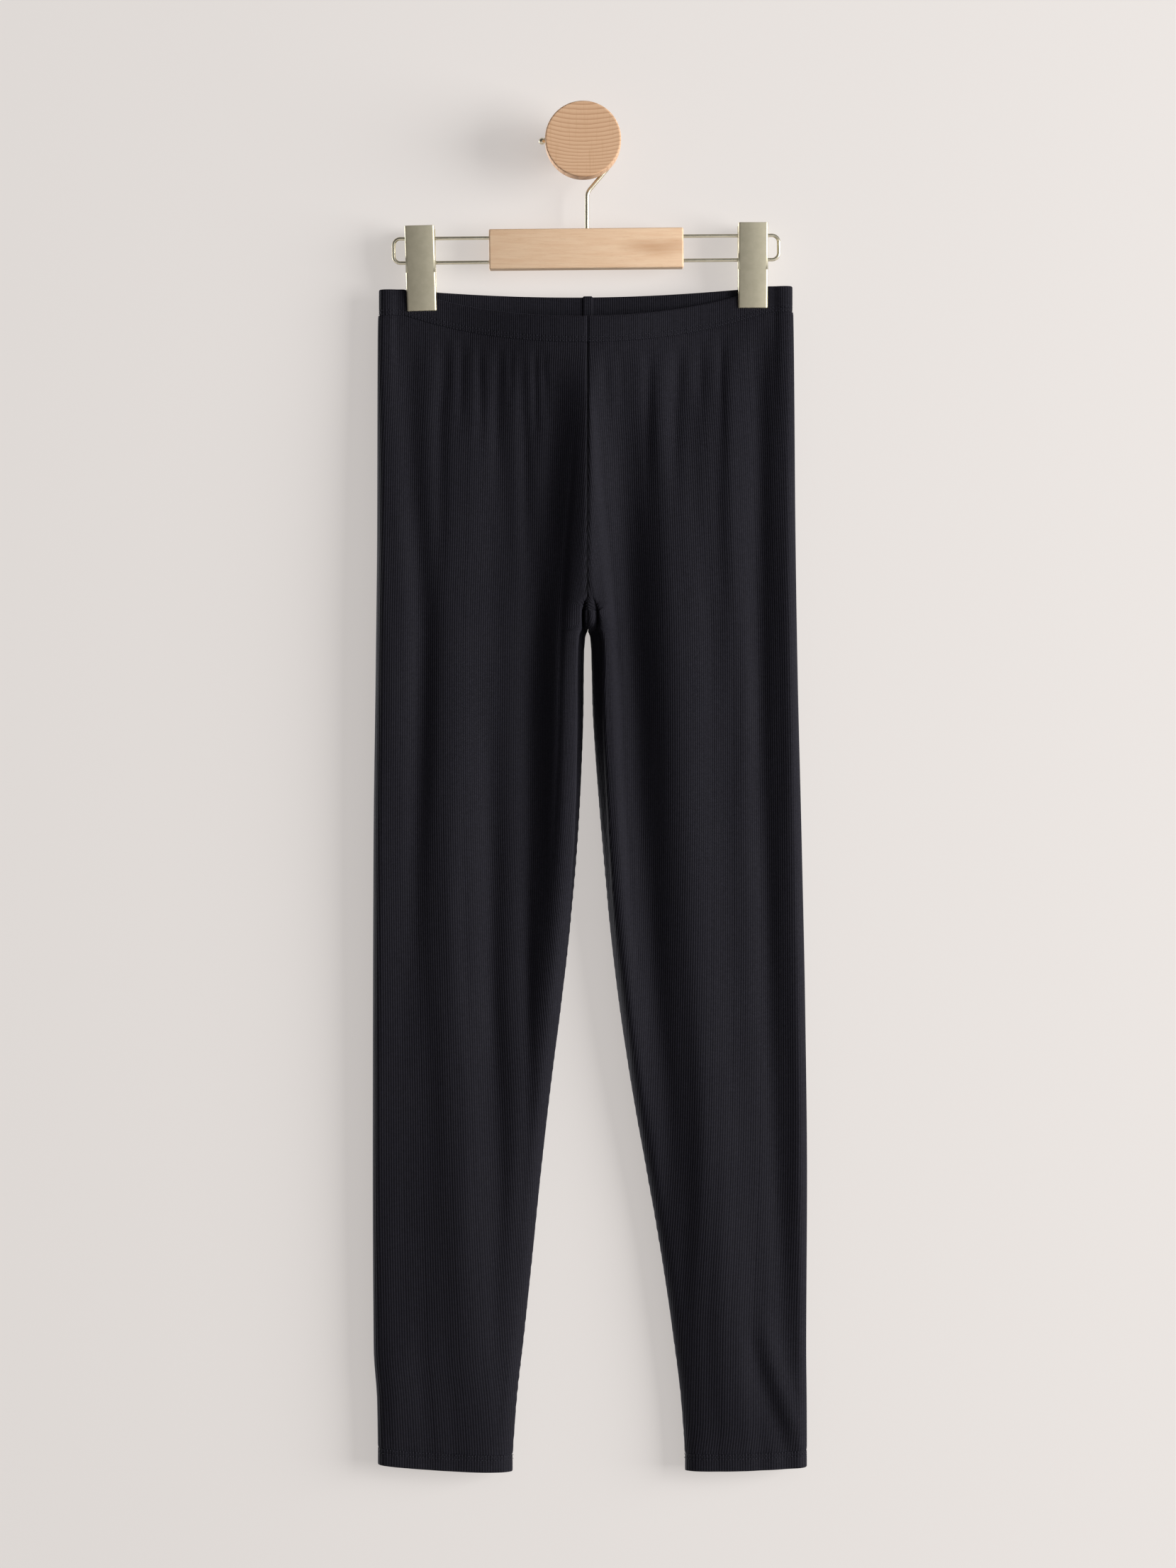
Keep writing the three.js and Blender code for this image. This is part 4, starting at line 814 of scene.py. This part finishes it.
def wall_knob():
    """The knob from its flat back, round the neck and the disc, to its face. The points a little beside each
    rounded edge keep the flats flat."""
    neck, edge, fillet, disc = KNOB.neck, KNOB.edge, KNOB.fillet, KNOB.disc
    back = -KNOB.neck_length
    face = back - KNOB.thickness
    quarter = math.pi / 2
    profile = [(0, 0), (neck - 0.7, 0), *arc(neck - 0.5, -0.5, 0.5, quarter, 0, 2), (neck, -1.2),
               (neck, back + fillet + 0.6),
               *arc(neck + fillet, back + fillet, fillet, math.pi, 3 * quarter, 5),
               (neck + fillet + 0.6, back), (disc - edge - 0.5, back),
               *arc(disc - edge, back - edge, edge, quarter, 0, 4), (disc, back - edge - 0.5),
               (disc, face + edge + 0.5), *arc(disc - edge, face + edge, edge, 0, -quarter, 4),
               (disc - edge - 0.5, face), (0, face)]
    return turned("wall_knob_beech", profile)


def hook_wire():
    lowest = HANGER_Z + BLOCK.height / 2 - HOOK.foot
    rise = in_plane(arc(HOOK.arc_x, HOOK.arc_z, HOOK.arc_radius, HOOK.arc_from, HOOK.arc_to, 36))
    start, below, bend = in_plane((HOOK.shank_x, z) for z in (
        lowest, HOOK.bend_z - HOOK.bend_round, HOOK.bend_z))
    above = bend + (rise[0] - bend).normalized() * HOOK.bend_round
    turn = [below * (1 - t)**2 + bend * 2 * t * (1 - t) + above * t**2 for t in np.linspace(0, 1, 9)]
    heading = Vector((-math.sin(HOOK.arc_to), 0, math.cos(HOOK.arc_to)))
    tip = rise[-1] + heading * HOOK.tip_reach
    shank = [start.lerp(below, t) for t in (0, 0.05, 0.5, 0.95)]
    end = [rise[-1].lerp(tip, t) for t in (0.08, 0.5, 0.9, 1)]
    hook = wire("hanger_hook_wire", [*shank, *turn, *rise, *end], HOOK.radius)
    hook = joined_with(hook, ball_piece(tip, HOOK.tip_ball))
    hook.data.transform(shift(0, HANG_Y, 0))
    return hook


def ball_piece(centre, radius):
    profile = [(radius * math.sin(a), radius * math.cos(a)) for a in np.linspace(0, math.pi, 13)]
    return moved(turned("ball", profile, 24), centre)


def combined(piece, other, operation):
    modifier = piece.modifiers.new(operation, "BOOLEAN")
    modifier.operation = operation
    modifier.solver = "EXACT"
    modifier.object = other
    shape = piece.evaluated_get(bpy.context.evaluated_depsgraph_get())
    old = piece.data
    piece.data = bpy.data.meshes.new_from_object(shape)
    piece.modifiers.clear()
    bpy.data.meshes.remove(old)
    bpy.data.objects.remove(other)
    piece.data.shade_smooth()
    piece.data.set_sharp_from_angle(angle=SHARP_ANGLE)
    return piece


def joined_with(piece, other):
    return combined(piece, other, "UNION")


def cut_by(piece, other):
    return combined(piece, other, "DIFFERENCE")


def shift(x, y, z):
    return Matrix.Translation((x * MM, y * MM, z * MM))


def moved(piece, place, turn=Matrix.Identity(4)):
    piece.data.transform(Matrix.Translation(Vector(place) * MM) @ turn)
    return piece


def on_hanger(piece, x=0.0, turn=0.0):
    """Moves a piece from the frame of the hanger, or of a clip on it, to the part's."""
    hanger = shift(HANGER_X, HANG_Y, HANGER_Z) @ Matrix.Rotation(-HANGER_TILT, 4, "Y")
    piece.data.transform(hanger @ shift(x, 0, 0) @ Matrix.Rotation(-turn, 4, "Y"))
    return piece


def hanger_rod(name, end):
    tip = ROD.reach - ROD.radius
    half = ROD.spread / 2
    start = BLOCK.length / 2 - ROD.buried
    round_x = tip - ROD.corner
    straight = [start + (round_x - start) * t for t in (0, 0.03, 0.5, 0.97)]
    top = arc(round_x, half - ROD.corner, ROD.corner, math.pi / 2, 0, 10)
    low = arc(round_x, ROD.corner - half, ROD.corner, 0, -math.pi / 2, 10)
    points = [(x, half) for x in straight] + top + low + [(x, -half) for x in reversed(straight)]
    return on_hanger(wire(name, in_plane((end * x, z) for x, z in points), ROD.radius))


def clip_spring(name, x, turn):
    """A coil round the lower rod, with a straight leg up along the inside of each jaw."""
    per_turn = 18
    steps = int(SPRING.turns * per_turn)
    start = -SPRING.turns * SPRING.pitch / 2
    coil = [Vector((start + SPRING.pitch * k / per_turn,
                    SPRING.coil * math.cos(2 * math.pi * k / per_turn),
                    SPRING.coil * math.sin(2 * math.pi * k / per_turn))) for k in range(steps + 1)]
    first = coil[0] + Vector((-0.6, 1.6, SPRING.leg))
    last = coil[-1] + Vector((0.6, -1.6, SPRING.leg))
    points = [first, first.lerp(coil[0], 0.1), *coil, last.lerp(coil[-1], 0.1), last]
    down = Vector((0, 0, -ROD.spread / 2))
    return on_hanger(wire(name, [p + down for p in points], SPRING.wire, 10), x, turn)


def drill(radius, half):
    """A cylinder along the Y axis, to cut a bore of this radius, half its length each way."""
    return turned("drill", [(0, -half), (radius, -half), (radius, half), (0, half)], 24)


def block_piece():
    """The wooden bar, its edges rounded, bored for the rods at its ends and for the hook on top."""
    size = (BLOCK.length, BLOCK.thickness, BLOCK.height)
    block = rounded_box("hanger_block_beech", size, BLOCK.round, 4)
    bores = [((end * (BLOCK.length / 2 - ROD.buried / 2 + 1), 0, level * ROD.spread / 2), "Z",
              ROD.radius + BLOCK.bore_gap, ROD.buried / 2 + 2) for end in (-1, 1) for level in (-1, 1)]
    bores.append(((HOOK.shank_x - HANGER_X, 0, BLOCK.height / 2 - HOOK.foot / 2 + 1), "X",
                  HOOK.radius + BLOCK.bore_gap, HOOK.foot / 2 + 2))
    for centre, axis, radius, half in bores:
        bore = drill(radius, half)
        block = cut_by(block, moved(bore, centre, Matrix.Rotation(math.pi / 2, 4, axis)))
    return on_hanger(block)


def rounded_box(name, size, edge, segments):
    """A box of this size round the origin with all its edges rounded."""
    half = np.array(size) / 2 - edge
    angles = np.linspace(0, math.pi / 2, segments + 1)
    quadrants = enumerate(((1, 1), (-1, 1), (-1, -1), (1, -1)))
    columns = [(sx, sy, a + quadrant * math.pi / 2) for quadrant, (sx, sy) in quadrants for a in angles]
    rows = [(-1, tilt) for tilt in angles[::-1]] + [(1, tilt) for tilt in angles]
    vertices = [(sx * half[0] + edge * math.cos(a) * math.cos(tilt),
                 sy * half[1] + edge * math.sin(a) * math.cos(tilt),
                 sz * (half[2] + edge * math.sin(tilt))) for sz, tilt in rows for sx, sy, a in columns]
    return make_mesh(name, vertices, tube_faces(len(rows), len(columns)))


def clip_jaw(name, side, ear_x, x, turn):
    """A pressed jaw: a channel with its flanges turned in, a lip on top and two ears on the lower rod."""
    height = CLIP.top - CLIP.bottom

    def face(z):
        return CLIP_MOUTH + (CLIP_SPREAD - CLIP_MOUTH) * (z - CLIP.bottom) / height

    vertices = []
    stations = [0, 0.25, 0.7, 1.4, 8, 18, 24, 30, 45, height - 1.6, height - 0.8, height - 0.25, height]
    for up in stations:
        z = CLIP.bottom + up
        end = min(up, height - up)
        shrink = max(0.0, CLIP.edge - math.sqrt(max(0.0, CLIP.edge**2 - max(0.0, CLIP.edge - end)**2)))
        depth = mix(CLIP.rim, CLIP.flange + CLIP.sheet, float(smooth((up - 16) / 14)))
        for px, py in channel(CLIP.width / 2 - shrink, depth - shrink, CLIP.sheet, CLIP.bend):
            vertices.append((px, side * (face(z) + CLIP.sheet - shrink - py), z))
    count = len(vertices) // len(stations)
    jaw = make_mesh(name, vertices, tube_faces(len(stations), count))
    lip = rounded_box("lip", (CLIP.width - 2.2, CLIP.lip + 0.6, CLIP.sheet), 0.35, 2)
    lip_y = side * (face(CLIP.top) + CLIP.sheet - CLIP.lip / 2 - 0.9)
    jaw = joined_with(jaw, moved(lip, (0, lip_y, CLIP.top - CLIP.sheet / 2 - 0.1)))
    rod_z = -ROD.spread / 2
    for edge in (-1, 1):
        jaw = joined_with(jaw, ear_plate(side, edge * ear_x, rod_z, face(rod_z) + CLIP.sheet / 2))
    return on_hanger(jaw, x, turn)


def channel(half_width, depth, sheet, bend):
    """The outline of a channel in plan, its outer face at y = 0 and its flanges towards +y."""
    quarter = math.pi / 2
    centre = half_width - bend
    outer = [(half_width - FLANGE_EDGE, depth), (half_width, depth - FLANGE_EDGE),
             *arc(centre, bend, bend, 0, -quarter, 4)]
    inner = [*arc(centre, bend, bend - sheet, -quarter, 0, 4), (half_width - sheet, depth - FLANGE_EDGE),
             (half_width - sheet + FLANGE_EDGE, depth)]
    outer_left, inner_left = ([(-x, y) for x, y in reversed(run)] for run in (outer, inner))
    return outer + outer_left + inner_left + inner


def ear_plate(side, x, rod_z, root):
    """An ear in the plane X = x, from the jaw's plate to a round nose with a hole for the rod."""
    nose = arc(0, rod_z, CLIP.ear, -0.62 * math.pi, -1.38 * math.pi, 14)
    ends = [(root, rod_z + up * CLIP.ear_root) for up in (-1, 1)]
    outline = [(side * py, pz) for py, pz in (ends[0], *nose, ends[1])]
    half = CLIP.sheet / 2
    vertices = [(x + level, py, pz) for level in (-half, half) for py, pz in outline]
    ear = make_mesh("ear", vertices, tube_faces(2, len(outline)))
    hole = drill(ROD.radius + EAR_GAP, 4)
    return cut_by(ear, moved(hole, (x, 0, rod_z), Matrix.Rotation(math.pi / 2, 4, "Z")))


# Materials

class Shading:
    """A material's node tree. Its calls add nodes and give an output. place is the object's own coordinates.
    Colours are given as 0-255 display values."""

    def __init__(self, name, **values):
        self.material = bpy.data.materials.new(name)
        self.material.use_nodes = True
        self.tree = self.material.node_tree
        self.shader = self.tree.nodes["Principled BSDF"]
        for socket, value in values.items():
            self.shader.inputs[socket.replace("_", " ")].default_value = value
        self.place = self.node("TexCoord", output=3)

    def node(self, kind, inputs=(), output=0, **settings):
        node = self.tree.nodes.new("ShaderNode" + kind)
        for key, value in settings.items():
            setattr(node, key, value)
        for socket, value in dict(inputs).items():
            if isinstance(value, bpy.types.NodeSocket):
                self.tree.links.new(value, node.inputs[socket])
            else:
                node.inputs[socket].default_value = value
        return node.outputs[output]

    def math(self, operation, a, b=0.0, c=0.0):
        return self.node("Math", {0: a, 1: b, 2: c}, operation=operation)

    def times(self, a, b):
        return self.math("MULTIPLY", a, b)

    def times_plus(self, a, b, c):
        return self.math("MULTIPLY_ADD", a, b, c)

    def blend(self, factor, low, high):
        """A colour mixed from low to high. Either may be another node's."""
        low, high = [srgb(*tone) if isinstance(tone, tuple) else tone for tone in (low, high)]
        return self.node("Mix", {0: factor, 6: low, 7: high}, output=2, data_type="RGBA")

    def tinted(self, tone, factor, share, high):
        """tone with a share of the colour high, as far as factor goes."""
        return self.blend(self.times(factor, share), tone, high)

    def ramp(self, factor, start, end):
        return self.node("MapRange", {"Value": factor, "From Min": start, "From Max": end},
                         interpolation_type="SMOOTHSTEP")

    def noise(self, scale, detail=2.0, roughness=0.5, stretch=None, distortion=0.0):
        place = self.node("Mapping", {"Vector": self.place, "Scale": stretch}) if stretch else self.place
        return self.node("TexNoise", {"Vector": place, "Scale": scale, "Detail": detail,
                                      "Roughness": roughness, "Distortion": distortion})

    def drive(self, socket, value):
        self.tree.links.new(value, self.shader.inputs[socket])

    def colour(self, tone):
        self.drive("Base Color", tone)

    def rough(self, factor, low, high):
        self.drive("Roughness", self.times_plus(factor, high - low, low))

    def bump(self, height, strength, distance):
        raised = {"Height": height, "Strength": strength, "Distance": distance}
        self.drive("Normal", self.node("Bump", raised))


def srgb(red, green, blue):
    """A colour given as 0-255 display values, in the linear values that shaders take."""
    def linear(value):
        share = value / 255
        return share / 12.92 if share <= 0.04045 else ((share + 0.055) / 1.055)**2.4
    return (linear(red), linear(green), linear(blue), 1.0)


def jersey_material():
    """Charcoal rib jersey: painted shade between its ribs and along its sewn edges, with chevron stitches,
    faint heather and a soft bloom.
    """
    look = Shading("jersey", Roughness=0.82, Specular_IOR_Level=0.15, Sheen_Weight=0.06,
                   Sheen_Roughness=0.5, Sheen_Tint=srgb(150, 150, 178))
    knit = look.node("Attribute", output=1, attribute_name="knit")
    across, down, painted_seam_shadow = look.node("SeparateXYZ", {0: knit}).node.outputs
    full_turn = 2 * math.pi
    valley = look.times_plus(look.math("COSINE", look.times(across, full_turn)), 0.5, 0.5)
    lean = look.math("ABSOLUTE", look.math("SUBTRACT", look.math("FRACT", across), 0.5))
    course = look.math("DIVIDE", down, COURSE_PITCH)
    stitch = look.math("SINE", look.times(look.times_plus(lean, 0.9, course), full_turn))
    heather = look.noise(520, 4, 0.75, (0.6, 0.6, 1.5))
    tone = look.blend(look.ramp(heather, 0.3, 0.75), (21, 20, 27), (33, 32, 40))
    # Painted shade: the valleys between the ribs are darkened, standing in for the shade that falls in them.
    tone = look.tinted(tone, valley, 0.45, (11, 10, 15))
    # Painted shadow: the jersey is darkened along its sewn edges, standing in for the shade in the seam.
    look.colour(look.tinted(tone, painted_seam_shadow, 0.75, (5, 5, 8)))
    look.rough(look.noise(14, 3), 0.76, 0.88)
    height = look.times_plus(stitch, look.math("SUBTRACT", 1.0, valley), look.noise(2600))
    look.bump(height, 0.32, 0.00012)
    return look.material


def thread_material():
    look = Shading("thread", Roughness=0.75, Specular_IOR_Level=0.2)
    twist = look.node("TexWave", {"Vector": look.place, "Scale": 900.0, "Distortion": 1.0})
    look.colour(look.blend(look.noise(300), (33, 33, 39), (48, 48, 56)))
    look.bump(twist, 0.4, 0.0001)
    return look.material


def knob_material():
    """Beech across the grain: rays, and growth rings as flat arcs, closer together lower down."""
    look = Shading("beech_end", Roughness=0.62, Specular_IOR_Level=0.35)
    x, _, z = look.node("SeparateXYZ", {0: look.place}).node.outputs
    side = look.math("SUBTRACT", x, HEARTWOOD.x)
    above = look.math("SUBTRACT", HEARTWOOD.z, z)
    radius = look.math("SQRT", look.math("ADD", look.times(side, side), look.times(above, above)))
    wobble = look.math("SUBTRACT", look.noise(38, 3, stretch=(1, 1, 2)), 0.5)
    warped = look.times_plus(wobble, 0.0022, radius)
    closer = look.times(look.times(warped, warped), 1500.0)
    rings = look.times_plus(warped, -40.0, closer)
    late = look.math("POWER", look.math("FRACT", rings), 3.0)
    ray = look.noise(3.0, stretch=(260, 8, 12))
    tone = look.blend(look.noise(30, 3), (227, 188, 152), (216, 175, 139))
    tone = look.tinted(tone, late, 0.72, (172, 122, 86))
    look.colour(look.tinted(tone, look.ramp(ray, 0.55, 0.75), 0.28, (190, 146, 104)))
    look.rough(late, 0.66, 0.5)
    look.bump(look.times_plus(late, -0.6, look.noise(1400)), 0.25, 0.00015)
    return look.material


def block_material():
    """Pale planed beech along the grain: soft long bands, a darker figure near one end, and short flecks."""
    look = Shading("beech_long", Roughness=0.55, Specular_IOR_Level=0.38)
    band = look.noise(3.2, 4, 0.55, (9, 60, 120), 0.6)
    fine = look.noise(2.2, 3, 0.6, (40, 400, 900))
    fleck = look.noise(1.6, stretch=(150, 500, 1500))
    tone = look.blend(look.ramp(band, 0.32, 0.72), (238, 206, 173), (231, 194, 159))
    tone = look.tinted(tone, look.ramp(fine, 0.5, 0.75), 0.24, (200, 156, 112))
    tone = look.tinted(tone, look.ramp(fleck, 0.62, 0.78), 0.3, (186, 138, 96))
    near_end = {"Vector": look.place, "Location": (-1.6, 1.2, 8.41), "Scale": (26, 60, 100)}
    figure = look.node("TexGradient", {0: look.node("Mapping", near_end)}, gradient_type="SPHERICAL")
    broken = look.ramp(look.noise(14, stretch=(1, 2, 2)), 0.25, 0.6)
    look.colour(look.tinted(tone, look.times(figure, broken), 0.95, (184, 136, 96)))
    look.rough(fine, 0.48, 0.64)
    look.bump(look.math("ADD", fine, fleck), 0.2, 0.00012)
    return look.material


def nickel_material(name, low, high, rough, brushed):
    """Satin nickel with a warm cast, faint brushing and a slightly mottled polish."""
    look = Shading(name, Metallic=1.0)
    strokes = look.noise(3.0, 3, 0.6, brushed)
    look.colour(look.blend(look.ramp(look.noise(160, 4, 0.6), 0.3, 0.7), low, high))
    look.rough(strokes, *rough)
    look.bump(look.times_plus(look.noise(3800, 1), 0.5, strokes), 0.06, 0.00004)
    return look.material


def backdrop_material(name):
    """Matt paint with a glow of its own, which softens the shadows on it. It is seen from the front only, so
    that the part shows from behind as well."""
    look = Shading(name, Base_Color=(0.335, 0.322, 0.314, 1.0), Roughness=0.95, Specular_IOR_Level=0.1,
                   Emission_Color=srgb(229, 223, 219), Emission_Strength=0.63)
    look.bump(look.noise(260, 4), 0.05, 0.0004)
    behind = look.node("NewGeometry", output=6)
    shown = look.node("MixShader", {0: behind, 1: look.shader.outputs[0], 2: look.node("BsdfTransparent")})
    look.tree.links.new(shown, look.tree.nodes["Material Output"].inputs["Surface"])
    return look.material


# The scene

def finish_piece(piece, material, slot, *nodes):
    piece.data.materials.clear()
    piece.data.materials.append(material)
    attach(piece, "root")
    if nodes:
        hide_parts(*nodes)
    return piece


def dress_cloth():
    jersey = jersey_material()
    thread = thread_material()

    def dressed(piece, stitches, node):
        finish_piece(stitches, thread, "jersey")
        return finish_piece(piece, jersey, "jersey", node), stitches

    casing, stitches = dressed(*waist_casing(), "waist_casing")
    for leg in OUTWARD:
        panel = finish_piece(leg_panel(leg), jersey, "jersey", f"{leg}_leg")
        hem, stitches = dressed(*ankle_hem(leg), f"{leg}_hem")


def dress_hanger():
    plate = nickel_material("nickel_plate", (183, 177, 156), (190, 184, 163), (0.46, 0.53), (1500, 1500, 60))
    drawn = nickel_material("nickel_wire", (206, 199, 176), (216, 210, 190), (0.2, 0.3), (300, 300, 300))
    finish_piece(wall_knob(), knob_material(), "beech", "wall_knob")
    finish_piece(block_piece(), block_material(), "beech", "hanger_block")
    finish_piece(hook_wire(), drawn, "nickel", "hanger_hook")
    for name, end in OUTWARD.items():
        finish_piece(hanger_rod(f"{name}_rod_wire", end), drawn, "nickel", f"{name}_rod")
    outer_ear = CLIP.width / 2 - CLIP.sheet / 2
    for name, x, turn in CLIPS:
        for part, side, ear_x in (("front", -1, outer_ear), ("back", 1, outer_ear - CLIP.sheet - EAR_GAP)):
            jaw = clip_jaw(f"{name}_clip_{part}_plate", side, ear_x, x, turn)
            finish_piece(jaw, plate, "nickel", f"{name}_clip_{part}_jaw")
        spring = clip_spring(f"{name}_clip_coil", x, turn)
        finish_piece(spring, drawn, "nickel", f"{name}_clip_spring")


IMAGE = (1659, 2212)
ORIGIN_AT = (822.5, 205.6)  # where the part's origin shows in the picture
PIXEL = 0.5836  # millimetres in the plane of the hanger
CAMERA_DISTANCE = 3000.0  # from that plane
SENSOR = 36.0
LIGHTS_AIM = (0, 0, -0.5)


def add_camera():
    data = bpy.data.cameras.new("camera")
    data.sensor_width = SENSOR
    data.lens = SENSOR * CAMERA_DISTANCE / (IMAGE[1] * PIXEL)
    data.clip_end = 100
    camera = add_object("camera", data)
    x = (IMAGE[0] / 2 - ORIGIN_AT[0]) * PIXEL
    z = (ORIGIN_AT[1] - IMAGE[1] / 2) * PIXEL
    camera.location = (x * MM, (HANG_Y - CAMERA_DISTANCE) * MM, z * MM)
    camera.rotation_euler = (math.pi / 2, 0, 0)
    bpy.context.scene.camera = camera


def add_light(name, place, size, watts, tint=(1, 1, 1)):
    data = bpy.data.lights.new(name, "AREA")
    data.shape = "RECTANGLE"
    data.size, data.size_y = size
    data.energy = watts
    data.color = tint
    light = add_object(name, data)
    light.location = place
    light.rotation_mode = "QUATERNION"
    light.rotation_quaternion = (Vector(LIGHTS_AIM) - light.location).to_track_quat("-Z", "Y")
    light.visible_camera = False


def add_studio():
    """A large soft window far to the right, at the height of the leggings, and weak light from elsewhere."""
    add_light("window", (4.6, -2.4, -0.2), (3.4, 2.6), 420, (1.0, 0.99, 0.975))
    add_light("fill", (1.2, -3.4, 0.6), (2.4, 2.4), 16, (0.97, 0.98, 1.0))
    add_light("back_left", (-4.2, 2.6, -0.2), (3.0, 2.4), 330)
    add_light("back_right", (1.8, 3.0, 0.4), (2.2, 2.2), 20)
    world = bpy.data.worlds.new("studio")
    world.use_nodes = True
    sky = world.node_tree.nodes["Background"]
    sky.inputs["Color"].default_value = srgb(224, 222, 222)
    sky.inputs["Strength"].default_value = 0.16
    bpy.context.scene.world = world
    bpy.context.scene.view_settings.view_transform = "Standard"
    half, near, top, foot = 4, -5, 3, -1.9
    backdrop("wall", [(-half, 0, top), (half, 0, top), (half, 0, foot), (-half, 0, foot)])
    backdrop("floor", [(-half, near, foot), (-half, 0, foot), (half, 0, foot), (half, near, foot)])


def backdrop(name, corners):
    """A plane of the wall or the floor, from corners in metres, half a millimetre behind the knob's back."""
    mesh = bpy.data.meshes.new(name)
    mesh.from_pydata([(x, y + 0.0005, z) for x, y, z in corners], [], [(3, 2, 1, 0)])
    mesh.materials.append(backdrop_material(f"{name}_paint"))
    plane = add_object(name, mesh)
    plane.visible_diffuse = False
    plane.visible_shadow = False


dress_cloth()
dress_hanger()
add_camera()
add_studio()
